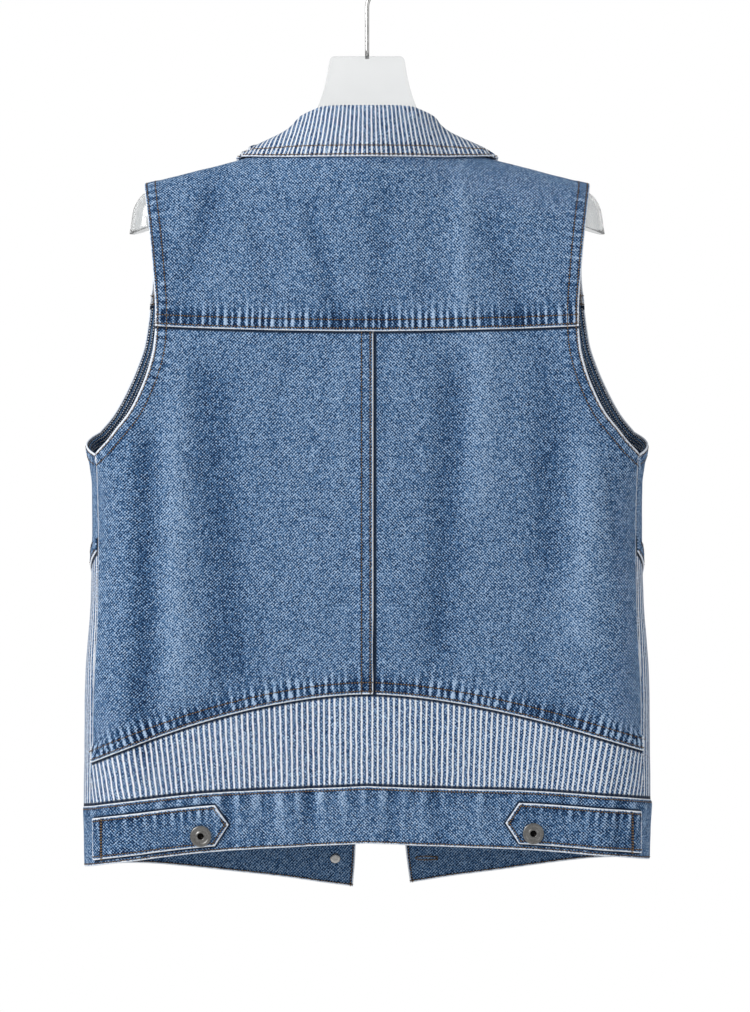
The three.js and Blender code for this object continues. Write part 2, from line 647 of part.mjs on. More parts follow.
// The collar: a stand that rises from the neckline, folds over and falls outside to its lower edge.
function collar() {
  const rings = [];
  for (const signed of [...COLLAR_TURNS.slice(1).map((turn) => -turn).reverse(), ...COLLAR_TURNS]) {
    const side = signed < 0 ? -1 : 1;
    const turn = Math.abs(signed);
    const onFront = turn > 90;
    const neckHalf = NECK_HALF * Math.sin(degrees(turn));
    const inFold = Math.cos(degrees(turn)) ** 2;
    const neckDrop = NECK_TOP_DROP + inFold * (onFront ? NECK_FRONT_DIP : NECK_BACK_DIP);
    const seat = clothPoint(bodyPoint(girthAt(neckHalf, neckDrop, onFront), neckDrop, side), DENIM / 2);
    const lean = onFront ? mix(COLLAR_LEAN.side, COLLAR_LEAN.front, inFold) : COLLAR_LEAN.side * (1 - inFold);
    const stand = reading(COLLAR, "stand", turn, "turn");
    const fold = seat.clone().add(point(-side * lean * Math.sin(degrees(turn)), 0, stand));
    if (!onFront) fold.y += COLLAR_LEAN.back * inFold;
    const edgeHalf = reading(COLLAR, "edgeHalf", turn, "turn");
    const edgeDrop = Math.max(reading(COLLAR, "edgeDrop", turn, "turn"), ridgeDrop(edgeHalf) + 0.02);
    const edgeBase = bodyPoint(girthAt(edgeHalf, edgeDrop, onFront), edgeDrop, side);
    const lift = mix(DENIM, BAND_OUTER + 0.4, clamp((turn - 100) / 40, 0, 1)) + SEAM + DOUBLED / 2 + 0.3;
    const edge = clothPoint(edgeBase, lift);
    const up = fold.clone().sub(seat).normalize();
    const out = bodyNormal(bodyPoint(girthAt(neckHalf, neckDrop + 6, onFront), neckDrop + 6, side));
    out.addScaledVector(up, -out.dot(up)).normalize();
    const r = COLLAR_FOLD_RADIUS;
    const ring = [0.045, 0.35, 0.7, 1].map((share) => seat.clone().lerp(fold, share));
    ring[0] = seat.clone().addScaledVector(up, SEAM + 1.1);
    for (const arc of [50, 90, 130, 180]) {
      const around = degrees(arc);
      const over = fold.clone().addScaledVector(up, r * Math.sin(around));
      ring.push(over.addScaledVector(out, r - r * Math.cos(around)));
    }
    const start = ring.at(-1);
    const reach = start.distanceTo(edge);
    const fall = new THREE.CubicBezierCurve3(
      start,
      start.clone().addScaledVector(up, -0.3 * reach).addScaledVector(out, 0.05 * reach),
      edge.clone().lerp(start, 0.35).addScaledVector(bodyNormal(edgeBase), 0.08 * reach),
      edge,
    );
    for (const share of [0.25, 0.5, 0.75, 1]) ring.push(fall.getPoint(share));
    rings.push(ring);
  }
  return wallAbout(rings, DOUBLED);
}

// A piece turned about its own axis, set on the cloth at a base point with its axis along the normal.
function turnedPiece(profile, sides, base, off) {
  const normal = bodyNormal(base);
  const geometry = new THREE.LatheGeometry(profile.map(([r, h]) => new THREE.Vector2(r, h)), sides);
  const facing = off < 0 ? normal.clone().negate() : normal;
  const turn = new THREE.Quaternion().setFromUnitVectors(point(0, 1, 0), facing);
  return { geometry, position: clothPoint(base, off), turn };
}

// A shank button: a dished ring with a hole in the middle, on a short shank.
const BUTTON_PROFILE = [
  [0, 0],
  [2.6, 0],
  [2.6, 1.2],
  [BUTTON_RADIUS - 1.2, 1.2],
  [BUTTON_RADIUS, 2.4],
  [BUTTON_RADIUS - 1.6, BUTTON_THICK],
  [BUTTON_RADIUS - 5, 2.8],
  [2.6, BUTTON_THICK],
  [2, 2.2],
  [0, 2.2],
];
const TACK_PROFILE = [
  [0, 0],
  [TACK_RADIUS, 0],
  [TACK_RADIUS, 0.5],
  [TACK_RADIUS - 1.5, TACK_THICK],
  [0, TACK_THICK],
];

// The hook's wire: a straight shank that swings out to one side and round over the rail.
function hook() {
  const centre = point(0, 0, -HOOK_INNER_RADIUS);
  const radius = HOOK_INNER_RADIUS + WIRE_RADIUS;
  const top = NECK_PLATE_DROP + LEVEL;
  const points = [top + SHANK_SEAT, top, 92, 78, 64, 52].map((drop) => point(0, 0, -drop));
  points.push(point(3.5, 0, -43.5));
  for (let turn = -42; turn <= HOOK_OPENING_TURN; turn += 25) {
    const angle = degrees(turn);
    points.push(centre.clone().add(point(radius * Math.cos(angle), 0, radius * Math.sin(angle))));
  }
  const section = new THREE.Shape().absarc(0, 0, WIRE_RADIUS, 0, 2 * Math.PI, false);
  return new THREE.ExtrudeGeometry(section, {
    steps: 40,
    curveSegments: 4,
    bevelEnabled: false,
    extrudePath: new THREE.CatmullRomCurve3(points, false, "centripetal"),
  });
}

// The line of the hanger's top and the direction from it into the arm, from the centre to one tip.
function hangerSpine() {
  const arm = { ...HANGER_ARM, ...HANGER_TIP };
  const topDrop = (x) => {
    const { shoulder, tip, from, to } = HANGER_UNDER;
    const under = ridgeDrop(Math.max(x, 96)) + mix(shoulder, tip, clamp((x - from) / (to - from), 0, 1));
    return x > 96 ? under : mix(165, under, (x / 96) ** 2.2);
  };
  const spine = [0, 16, 32, 48, 64, 80, 96, 112, 128, 144, 160, 172, arm.bendFrom].map((x) => {
    const fall = Math.atan2(topDrop(x + 1) - topDrop(Math.max(0, x - 1)), x > 0 ? 2 : 1);
    const leg = mix(arm.leg, arm.tipLeg, (x / arm.bendFrom) ** 3);
    return { x, z: -topDrop(x), fall: x > 0 ? fall : 0, leg };
  });
  const from = spine.at(-1);
  const turns = 6;
  for (let i = 1; i <= turns; i += 1) {
    const fall = mix(from.fall, degrees(arm.bendTo), i / turns);
    spine.push({
      x: from.x + arm.bendRadius * (Math.sin(fall) - Math.sin(from.fall)),
      z: from.z - arm.bendRadius * (Math.cos(from.fall) - Math.cos(fall)),
      fall,
      leg: arm.tipLeg,
    });
  }
  const bent = spine.at(-1);
  const tipX = bent.x + arm.tail * Math.cos(bent.fall);
  const tipZ = bent.z - arm.tail * Math.sin(bent.fall);
  spine.push({ x: tipX, z: tipZ, fall: degrees(arm.endCut), leg: arm.tipLeg });
  return spine;
}

// The hanger's arms: one channel, open below, from tip to tip.
function hangerArms() {
  const right = hangerSpine();
  const left = right.slice(1).map((s) => ({ ...s, x: -s.x, fall: -s.fall })).reverse();
  const wall = HANGER_WALL / 2;
  const middle = [...left, ...right].map((s) => {
    return [-90, -60, -30, 0, 30, 60, 90].map((turn) => {
      const angle = degrees(turn);
      const inwards = wall + (s.leg - wall) * (1 - Math.cos(angle));
      const y = (HANGER_ARM.halfDepth - wall) * Math.sin(angle);
      return point(s.x - inwards * Math.sin(s.fall), y, s.z - inwards * Math.cos(s.fall));
    });
  });
  return wallAbout(middle, HANGER_WALL);
}

// The hanger's neck: a plate with a narrow top that flares into the arms.
function hangerNeck() {
  const outline = new THREE.Shape();
  const top = -NECK_PLATE_DROP;
  outline.moveTo(0, top);
  outline.lineTo(29, top);
  outline.quadraticCurveTo(33, top, 33.8, top - 5);
  outline.bezierCurveTo(37, top - 26, 41, top - 50, 68, -166);
  outline.lineTo(30, -184);
  outline.lineTo(-30, -184);
  outline.lineTo(-68, -166);
  outline.bezierCurveTo(-41, top - 50, -37, top - 26, -33.8, top - 5);
  outline.quadraticCurveTo(-33, top, -29, top);
  outline.closePath();
  const options = { depth: NECK_PLATE_THICK, bevelEnabled: false, curveSegments: 6 };
  const plate = new THREE.ExtrudeGeometry(outline, options);
  return plate.rotateX(Math.PI / 2).translate(0, NECK_PLATE_THICK / 2, 0);
}

const wasm = await Module();
wasm.setup();

// A geometry as a solid that can be joined and cut, and back.
function solidFrom(geometry) {
  const bare = geometry.clone();
  bare.deleteAttribute("normal");
  bare.deleteAttribute("uv");
  const merged = mergeVertices(bare, 1e-4);
  return new wasm.Manifold(
    new wasm.Mesh({
      numProp: 3,
      vertProperties: merged.attributes.position.array,
      triVerts: new Uint32Array(merged.index.array),
    }),
  );
}

function geometryFrom(solid) {
  const { vertProperties, triVerts } = solid.getMesh();
  const geometry = new THREE.BufferGeometry();
  geometry.setAttribute("position", new THREE.BufferAttribute(vertProperties, 3));
  geometry.setIndex(new THREE.BufferAttribute(triVerts, 1));
  geometry.computeVertexNormals();
  return geometry;
}

function hangerBody() {
  const bore = WIRE_RADIUS + SEAM;
  const seat = new THREE.CylinderGeometry(bore, bore, 2 * (SHANK_SEAT + SEAM), 16);
  seat.rotateX(Math.PI / 2).translate(0, 0, -NECK_PLATE_DROP);
  const joined = solidFrom(hangerArms()).add(solidFrom(hangerNeck()));
  return geometryFrom(joined.subtract(solidFrom(seat)));
}

const finish = (color, roughness, metalness, more = {}) =>
  new THREE.MeshStandardMaterial({ color, roughness, metalness, ...more });
const DENIM_BLUE = finish("#5f7999", 0.92, 0);
const STRIPED_DENIM = finish("#92a3b8", 0.92, 0);
const BUTTON_METAL = finish("#8d8a86", 0.35, 1);
const HOOK_STEEL = finish("#b9b9b7", 0.25, 1);
const CLEAR_PLASTIC = finish("#eaeaea", 0.08, 0, { transparent: true, opacity: 0.35 });

const vest = new THREE.Group();
function add(name, geometry, material) {
  const mesh = new THREE.Mesh(geometry, material);
  mesh.name = name;
  mesh.position.z = -LEVEL;
  vest.add(mesh);
  return mesh;
}
function addTurned(name, profile, sides, base, off) {
  const made = turnedPiece(profile, sides, base, off);
  const mesh = add(name, made.geometry, BUTTON_METAL);
  mesh.position.add(made.position);
  mesh.quaternion.copy(made.turn);
}

add("back_yoke", backYoke(), DENIM_BLUE);
add("back_hem_insert", hemInsert(), STRIPED_DENIM);
add("waistband", waistband(), DENIM_BLUE);
add("collar", collar(), STRIPED_DENIM);
for (const [name, side] of [["left", -1], ["right", 1]]) {
  add(`back_panel_${name}`, backPanel(side), DENIM_BLUE);
  add(`front_yoke_${name}`, frontYoke(side), STRIPED_DENIM);
  add(`front_chest_${name}`, frontChest(side), DENIM_BLUE);
  add(`front_lower_${name}`, frontLower(side), STRIPED_DENIM);
  add(`placket_${name}`, placket(side), DENIM_BLUE);
  add(`armhole_facing_${name}`, armholeFacing(side), DENIM_BLUE);
  add(`tab_${name}`, tab(side), DENIM_BLUE);
  const seat = bodyPoint(girthAt(TAB_BUTTON_HALF, TAB_BUTTON_DROP, false), TAB_BUTTON_DROP, side);
  addTurned(`tab_button_${name}`, BUTTON_PROFILE, 16, seat, BAND_OUTER + 2 * SEAM + TAB.thick);
}
for (let i = 0; i < FRONT_BUTTONS; i += 1) {
  const drop = mix(FIRST_BUTTON_DROP, LAST_BUTTON_DROP, i / (FRONT_BUTTONS - 1));
  const base = bodyPoint(frontEdge(drop, -1, PLACKET_WIDTH / 2), drop, -1);
  addTurned(`front_button_${i + 1}`, BUTTON_PROFILE, 16, base, BAND_OUTER + SEAM);
  addTurned(`front_tack_${i + 1}`, TACK_PROFILE, 12, base, BAND_OUTER - DOUBLED - SEAM);
}
add("hanger_body", hangerBody(), CLEAR_PLASTIC);
add("hanger_hook", hook(), HOOK_STEEL).position.z = 0;

export default vest;
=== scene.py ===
"""The looks of a sleeveless denim vest on a clear hanger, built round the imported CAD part."""

import math
from collections import namedtuple

import bmesh
import bpy
import numpy as np
from mathutils import Matrix, Vector


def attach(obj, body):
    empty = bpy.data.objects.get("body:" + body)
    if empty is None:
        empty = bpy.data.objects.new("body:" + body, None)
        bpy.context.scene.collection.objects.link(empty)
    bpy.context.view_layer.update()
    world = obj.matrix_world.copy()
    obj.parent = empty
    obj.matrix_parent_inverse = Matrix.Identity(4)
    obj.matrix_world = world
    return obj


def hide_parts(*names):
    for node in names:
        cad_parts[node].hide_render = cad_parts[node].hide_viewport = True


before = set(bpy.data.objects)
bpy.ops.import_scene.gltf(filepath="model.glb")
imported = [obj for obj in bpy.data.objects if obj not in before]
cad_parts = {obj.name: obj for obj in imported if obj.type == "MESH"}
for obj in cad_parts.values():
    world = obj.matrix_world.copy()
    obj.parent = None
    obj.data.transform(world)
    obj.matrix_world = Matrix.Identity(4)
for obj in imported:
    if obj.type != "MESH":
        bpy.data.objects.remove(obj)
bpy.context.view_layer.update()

bl_info = {
    "name": "Denim vest",
    "version": (1, 0, 0),
    "blender": (4, 5, 0),
    "location": "3D View > Sidebar > Vest",
    "description": "Builds the cloth, stitching, buttons and hanger of a sleeveless denim vest",
    "category": "Add Mesh",
}

# The body that the cloth lies on, in millimetres, as in the CAD part.
# "drop" is the way down from a level that in_metres puts LEVEL under the origin, "half" the way out
# from x = 0.
LEVEL = 19
SEAM = 0.3
DENIM = 1.4
DOUBLED = 2.6
BAND_OUTER = 2.0
BODY = {
    "drop": (150, 198, 266, 317, 361, 398, 428, 445, 462, 515, 564, 609, 646, 740, 797, 835),
    "half": (236, 236, 237, 239, 242.5, 247, 249.3, 246.3, 244.2, 244, 245, 248.5, 250.2, 251.4, 250.5, 250),
    "depth": (37, 38, 39, 40, 41, 42, 42, 42, 42, 42, 43, 43, 43, 43, 42, 42),
}
SIDE_ROUND = 55
BOW = 0.1
FULL_DEPTH_DROP = 380
CROWN_POWER = 3.4
RIDGE = {
    "half": (0, 40, 60, 76, 95, 116, 148, 198.3),
    "drop": (60, 118, 146, 161, 168, 174.3, 182.6, 195.2),
}
NECK_HALF = 76
NECK_TOP_DROP = 161
NECK_BACK_DIP = 6.8
NECK_FRONT_DIP = 76
SHOULDER_TURN = math.asin(12 / 38)
ARMHOLE_BACK = {
    "drop": (195.2, 229, 266, 317, 340, 361, 381, 398, 414, 425, 433.6),
    "half": (198.3, 193.5, 189.5, 186.3, 188, 193, 200.7, 209.5, 222, 231, 240),
}
ARMHOLE_FRONT = {
    "drop": (195.2, 229, 267, 300, 322, 336, 356, 377, 398, 414),
    "half": (198.3, 195, 193.4, 196, 198.8, 201.2, 207.9, 216.9, 228, 240),
}
UNDERARM = {"girth": (286, 271, 256), "drop": (418.5, 423.5, 429.0)}
SIDE_SEAM = {
    "drop": (433.6, 476, 518, 564, 599, 655, 745),
    "half": (240, 238.5, 238, 238.4, 239.7, 242.4, 243.5),
}
SHOULDER_TIP = 198.3
CENTRE_SEAM_X = 5.3
BACK_YOKE_DROP = 326
BACK_YOKE_RISE = 4.6
BACK_YOKE_HALF = 185
FRONT_YOKE_DROP = 300
FRONT_YOKE_SAG = 8
FRONT_YOKE_HALF = 195
INSERT_DROP = 644.8
INSERT_FALL = 55.4
INSERT_HALF = 239
SLANT_SIDE_DROP = 520
SLANT_FALL = 105
OPENING = {
    "drop": (160, 300, 520, 720, 790, 835),
    "left": (-9, -9, -8, -9, -10.5, -13.7),
    "right": (9, 11, 20, 29, 34.5, 40.5),
}
PLACKET_WIDTH = 36
HEM_CENTRE_DROP = 777.6
HEM = {
    "girth": (0, 136, 182, 225, 246, 270, 333, 355, 391, 419, 467, 509, 545),
    "fall": (0, 6.6, 11, 16.5, 19.3, 21.4, 23.8, 25.4, 29.4, 33, 39, 45.3, 50),
}
BAND_HEIGHT = 50
BAND_SIDE_EXTRA = 3
BAND_GIRTH = 540
TAB_TIP = 121.5
TAB_CORNER = 133.5
TAB_END = 240.8
TAB_TOP = 0.2
TAB_BOTTOM = 0.9
TAB_THICK = 2.2
LEAN = 3.2
LEAN_FROM = 500
LEAN_FULL = 700
LEAN_HALF = 240
INSERT_LEAN = 2

Fold = namedtuple("Fold", "x0 drop0 x1 drop1 width height")
FOLD_END = 22  # how soon a fold dies out past its ends
# The soft folds of the back, as in the CAD part.
FOLDS = (
    Fold(-138, 212, -168, 300, 11, -2.6),
    Fold(-50, 225, -24, 318, 8, -2.0),
    Fold(14, 215, 12, 315, 12, -1.4),
    Fold(84, 200, 83, 318, 9, 2.0),
    Fold(108, 240, 136, 310, 12, -1.6),
    Fold(-195, 430, -196, 690, 13, -3.6),
    Fold(-171, 380, -168, 640, 14, 2.4),
    Fold(-140, 375, -118, 620, 20, -3.0),
    Fold(74, 380, 62, 600, 15, -2.8),
    Fold(103, 335, 98, 470, 14, 2.2),
    Fold(162, 350, 160, 520, 16, -2.6),
    Fold(194, 440, 190, 590, 16, 2.4),
)
# Small creases of the back, which the CAD part leaves out.
BACK_CREASES = (
    Fold(-134, 598, -126, 640, 4.5, -1.1),
    Fold(-112, 606, -104, 642, 4, -0.9),
    Fold(-92, 596, -86, 634, 4, -0.8),
    Fold(9, 604, 6, 632, 3.5, -1.0),
    Fold(16, 340, 14, 420, 5, -0.6),
    Fold(-22, 345, -26, 470, 6, 0.7),
    Fold(150, 560, 146, 640, 7, -0.9),
    Fold(-70, 350, -84, 420, 6, -0.6),
    Fold(-100, 232, -86, 300, 7, -0.8),
    Fold(52, 226, 47, 312, 6, -0.9),
    Fold(-205, 650, -214, 676, 5, -1.4),
    Fold(214, 455, 221, 520, 6, -1.2),
    Fold(-26, 655, -25, 720, 5, 0.9),
    Fold(-118, 678, -112, 724, 5, 0.9),
    Fold(158, 676, 144, 708, 5, 1.0),
    Fold(-88, 672, -84, 722, 5, -0.9),
    Fold(-52, 664, -50, 722, 5, -0.8),
    Fold(60, 668, 62, 722, 6, -0.7),
    Fold(-121, 738, -122, 772, 6, -1.9),
    Fold(-94, 740, -93, 772, 6, -1.5),
    Fold(-50, 738, -52, 776, 7, -1.9),
    Fold(-72, 742, -71, 764, 5, 0.8),
    Fold(20, 738, 22, 770, 7, -1.4),
    Fold(64, 738, 66, 776, 7, -1.9),
    Fold(98, 742, 97, 768, 6, 0.8),
    Fold(222, 748, 221, 792, 7, -2.0),
)
# Plain folds for the front, uneven as those of the back.
FRONT_FOLDS = (
    Fold(-196, 420, -190, 600, 13, -2.0),
    Fold(-150, 330, -128, 470, 12, 1.6),
    Fold(-110, 560, -118, 700, 14, -1.8),
    Fold(-166, 230, -150, 290, 9, -1.3),
    Fold(-80, 360, -72, 520, 11, -1.2),
    Fold(188, 430, 196, 640, 14, -2.1),
    Fold(140, 320, 122, 450, 11, 1.5),
    Fold(112, 540, 104, 690, 13, -1.6),
    Fold(160, 225, 146, 286, 9, -1.2),
    Fold(84, 380, 92, 500, 10, -1.1),
)

# How a stitched edge is made: rows of thread at these distances from it, a strip raised over what it
# lies on, puckers of a height and pitch that fade beyond the last row, how strongly the puckers are
# rubbed pale and stay dark in between, and how wide the edge itself is worn white, in millimetres.
Kind = namedtuple("Kind", "rows raised strip pucker pitch fade contrast worn")
LAP = Kind((2.6, 10.2), 1.6, 12.0, 0.8, 6.2, 7.5, 2.4, 0.95)
LAP_PRESSED = Kind((2.4, 9.9), 1.6, 11.6, 0.16, 7.5, 5.0, 0.3, 0.65)
LAP_FRONT = Kind((2.6, 10.2), 1.6, 12.0, 0.45, 6.2, 6.0, 0.9, 0.95)
TURNED = Kind((2.4, 10.0), 0.35, 11.5, 0.3, 6.5, 5.0, 0.8, 1.0)
COLLAR_EDGE = Kind((2.2, 9.8), 0.0, 11.5, 0.28, 6.5, 5.0, 0.8, 0.9)
BAND_EDGE = Kind((2.8,), 0.0, 4.0, 0.9, 17.5, 16.0, 0.8, 0.95)
HEM_EDGE = Kind((2.0,), 0.0, 3.0, 0.25, 9.0, 4.0, 0.6, 1.1)
TAB_EDGE = Kind((2.9,), 0.0, 3.2, 0.22, 8.0, 3.5, 0.8, 1.15)
TAB_UPPER = Kind((2.9,), 0.0, 3.2, 0.5, 8.0, 9.0, 1.5, 1.15)
TAB_FOLD = Kind((9.3, 10.2), 1.0, 8.0, 0.12, 8.0, 2.5, 0.4, 1.2)
SIDE_EDGE = Kind((), 0.25, 3.0, 0.2, 9.0, 3.0, 0.5, 1.5)
PLAIN_EDGE = Kind((2.4,), 0.0, 3.5, 0.15, 8.0, 4.0, 0.4, 0.7)
LAP_OVER = 1.5  # how far a lapped edge lies over its neighbour
BAND_OVER = 0.8

# Ways in from a stitched edge at which the cloth has its points.
NEAR_EDGE = (0, 0.5, 1.1, 1.8, 2.6, 3.4, 4.4, 5.8, 7.2, 8.6, 9.5, 10.2, 11.0, 12.2, 14.0, 16.5)
NEAR_PLAIN = (0, 0.6, 1.3, 2.1, 3.0, 4.2, 6.0)
NEAR_TAB = (0, 0.5, 1.1, 1.7, 2.3, 3.1, 4.2)
NEAR_TAB_FOLD = (0, 0.5, 1.2, 2.4, 4, 6, 7.5, 8.4, 9.0, 9.7, 10.4, 11.2, 12.5)


def mix(a, b, share):
    return a + (b - a) * share


def smooth_step(low, high, value):
    share = np.clip((value - low) / (high - low), 0, 1)
    return share * share * (3 - 2 * share)


def reading(table, column, at, key="drop"):
    """A column of a table read between its rows, as a smooth curve that never overshoots them."""
    keys = np.array(table[key], float)
    values = np.array(table[column], float)
    steps = np.diff(keys)
    slopes = np.diff(values) / steps
    before, after = slopes[:-1], slopes[1:]
    total = np.where(before + after == 0, 1, before + after)
    inner = np.where(before * after > 0, 2 * before * after / total, 0)
    tangents = np.concatenate([slopes[:1], inner, slopes[-1:]])
    x = np.clip(np.asarray(at, float), keys[0], keys[-1])
    i = np.clip(np.searchsorted(keys, x, side="left") - 1, 0, len(steps) - 1)
    f = (x - keys[i]) / steps[i]
    bend = f * (1 - f) ** 2 * tangents[i] - f * f * (1 - f) * tangents[i + 1]
    return mix(values[i], values[i + 1], f * f * (3 - 2 * f)) + steps[i] * bend


def ridge_drop(half):
    return reading(RIDGE, "drop", np.abs(half), "half")


def crown_share(half, drop):
    ridge = ridge_drop(half)
    return np.maximum(0, (FULL_DEPTH_DROP - drop) / (FULL_DEPTH_DROP - ridge))


def section_at(drop):
    half = reading(BODY, "half", drop)
    depth = reading(BODY, "depth", drop)
    return half - SIDE_ROUND, depth, np.hypot(SIDE_ROUND, depth) / math.sqrt(2)


def bowed_depth(half, flat, depth):
    inside = 1 - np.minimum(1, (half / flat) ** 2)
    return depth * (1 + BOW * inside * inside)


def girth_at(half, drop, on_front):
    """The way round from the centre back to a half width, on the back or on the front."""
    flat, _, bend = section_at(drop)
    turn = np.arcsin(np.clip((half - flat) / SIDE_ROUND, 0, 1))
    on_flat = half <= flat
    back = np.where(on_flat, half, flat + bend * turn)
    front = np.where(on_flat, 2 * flat + math.pi * bend - half, flat + bend * (math.pi - turn))
    return np.where(on_front, front, back)


def body_point(girth, drop, side):
    girth, drop, side = np.broadcast_arrays(
        np.asarray(girth, float), np.asarray(drop, float), np.asarray(side, float)
    )
    flat, depth, bend = section_at(drop)
    turn = np.clip((girth - flat) / bend, 0, math.pi)
    half = flat + SIDE_ROUND * np.sin(turn)
    half = np.where(girth < flat, girth, half)
    half = np.where(girth > flat + math.pi * bend, 2 * flat + math.pi * bend - girth, half)
    fade = np.sqrt(np.maximum(0, 1 - crown_share(half, drop) ** CROWN_POWER))
    y = -np.cos(turn) * bowed_depth(half, flat, depth) * fade
    return np.stack([side * half, y, -drop], axis=-1)


def body_level(x, y, z):
    flat, depth, _ = section_at(-z)
    half = np.abs(x)
    side_share = np.maximum(0, (half - flat) / SIDE_ROUND)
    crown = crown_share(half, -z) ** CROWN_POWER
    return (y / bowed_depth(half, flat, depth)) ** 2 - (1 - side_share**2) * (1 - crown)


def body_slope(p):
    x, y, z = p[..., 0], p[..., 1], p[..., 2]
    e = 0.05
    return np.stack(
        [
            body_level(x + e, y, z) - body_level(x - e, y, z),
            body_level(x, y + e, z) - body_level(x, y - e, z),
            body_level(x, y, z + e) - body_level(x, y, z - e),
        ],
        axis=-1,
    ) / (2 * e)


def unit(v):
    return v / np.maximum(np.linalg.norm(v, axis=-1, keepdims=True), 1e-9)


def body_normal(p):
    return unit(body_slope(p))


def settle(p):
    """Moves nearby points onto the body's surface."""
    for _ in range(5):
        slope = body_slope(p)
        level = body_level(p[..., 0], p[..., 1], p[..., 2])
        p = p - slope * (level / np.maximum((slope**2).sum(-1), 1e-12))[..., None]
    return p


def fold_heights(p, folds):
    x, drop = p[..., 0], -p[..., 2]
    total = np.zeros(x.shape)
    for fold in folds:
        run = fold.drop1 - fold.drop0
        along = (drop - fold.drop0) / run
        middle = mix(fold.x0, fold.x1, np.clip(along, 0, 1))
        past = np.maximum(0, np.maximum(-along, along - 1)) * run
        across = (x - middle) / fold.width
        total = total + fold.height * np.exp(-across * across - (past / FOLD_END) ** 2)
    return total


def fold_height(p):
    """How far the soft folds stand out at points of the body; they die out by the armholes."""
    half, drop = np.abs(p[..., 0]), -p[..., 2]
    edge = reading(ARMHOLE_BACK, "half", drop) - half + np.maximum(0, drop - 434) - 10
    fade = np.clip(np.where(drop > 480, 1, edge / 40), 0, 1)
    back = fold_heights(p, FOLDS + BACK_CREASES)
    front = fold_heights(p, FRONT_FOLDS) * smooth_step(2, 16, p[..., 1])
    by_placket = smooth_step(62, 80, half)
    return np.where(p[..., 1] > 0, front * fade * by_placket, back * fade)


def ripple(p):
    """The slight unevenness that washed cloth always has, in millimetres."""
    x, drop = p[..., 0], -p[..., 2]
    turn = np.where(p[..., 1] > 0, 2.1, 0.0)
    slow = np.sin(x / 11.3 + 1.7 * np.sin(drop / 47 + turn)) * np.sin(drop / 23 + 2.3 + turn)
    quick = np.sin(x / 5.1 + drop / 13 + turn) * np.sin(drop / 8.7 - x / 17)
    return 0.26 * slow + 0.1 * quick


def cloth_point(base, off, settled=True):
    """Points of cloth: off the body by a distance, with the folds and the lean of the hanging vest."""
    rise = off + fold_height(base) + (ripple(base) if settled else 0)
    moved = base + body_normal(base) * np.asarray(rise)[..., None]
    ramp = smooth_step(LEAN_FROM, LEAN_FULL, -base[..., 2])
    out = np.clip(base[..., 0] / LEAN_HALF, -1, 1)
    moved[..., 2] += LEAN * out * np.abs(out) * ramp
    return moved


def in_metres(p):
    return (p - np.array([0, 0, LEVEL])) / 1000


# The lines along which the pieces of cloth meet.
def armhole_back(drop):
    return reading(ARMHOLE_BACK, "half", drop)


def armhole_front(drop):
    return reading(ARMHOLE_FRONT, "half", drop)


def side_seam_girth(drop):
    return girth_at(reading(SIDE_SEAM, "half", drop), drop, False)


def neckline_drop(half, on_front):
    inside = 1 - np.minimum(1, (half / NECK_HALF) ** 2)
    return NECK_TOP_DROP + inside * np.where(on_front, NECK_FRONT_DIP, NECK_BACK_DIP)


def back_yoke_drop(x):
    return BACK_YOKE_DROP - BACK_YOKE_RISE * (x / BACK_YOKE_HALF) ** 2


def front_yoke_drop(half):
    return FRONT_YOKE_DROP + FRONT_YOKE_SAG * (1 - half / FRONT_YOKE_HALF)


def hem_drop(girth):
    return HEM_CENTRE_DROP + reading(HEM, "fall", girth, "girth")


def band_top_drop(girth):
    return hem_drop(girth) - BAND_HEIGHT - BAND_SIDE_EXTRA * np.sin(girth / BAND_GIRTH * math.pi) ** 2


def hem_insert_drop(half, side):
    out = half / INSERT_HALF
    return INSERT_DROP + INSERT_FALL * np.abs(out) ** 1.7 - side * INSERT_LEAN * out**3


def slant_drop(share):
    return SLANT_SIDE_DROP + SLANT_FALL * np.sin(share * math.pi / 2)


def front_edge(drop, side, inset):
    x = np.where(side < 0, reading(OPENING, "left", drop), reading(OPENING, "right", drop))
    return girth_at(np.zeros(np.shape(drop)), drop, True) - side * x - inset


def crown_turn_at(half, drop):
    return np.arccos(np.minimum(1, crown_share(half, drop)) ** (CROWN_POWER / 2))


def crown_point(half, turn, side):
    share = np.cos(turn) ** (2 / CROWN_POWER)
    drop = FULL_DEPTH_DROP - share * (FULL_DEPTH_DROP - ridge_drop(half))
    return body_point(girth_at(half, drop, turn < 0), drop, side)


# Each piece of cloth by two shares, across and down, as points of the body.
def back_yoke_base(a, b):
    side = np.where(a < 0, -1.0, 1.0)
    c = np.abs(a)
    on_neck = c < 0.5
    neck = NECK_HALF * np.sin(np.minimum(c, 0.5) * math.pi)
    top_half = np.where(on_neck, neck, mix(NECK_HALF + 0.2, SHOULDER_TIP, 2 * c - 1))
    neck_turn = crown_turn_at(top_half, neckline_drop(top_half, False))
    top_turn = np.where(on_neck, neck_turn, -SHOULDER_TURN)
    size = mix(top_half / SHOULDER_TIP, c, b)
    half = size * SHOULDER_TIP
    for _ in range(4):
        bottom_turn = crown_turn_at(half, back_yoke_drop(half) + LAP_OVER)
        base = crown_point(half, mix(top_turn, bottom_turn, b), side)
        half = size * armhole_back(-base[..., 2])
    return base


BACK_CORNER_DROP = 321.6
BACK_CORNER = float(reading(ARMHOLE_BACK, "half", BACK_CORNER_DROP))
UNDERARM_HALF = 240


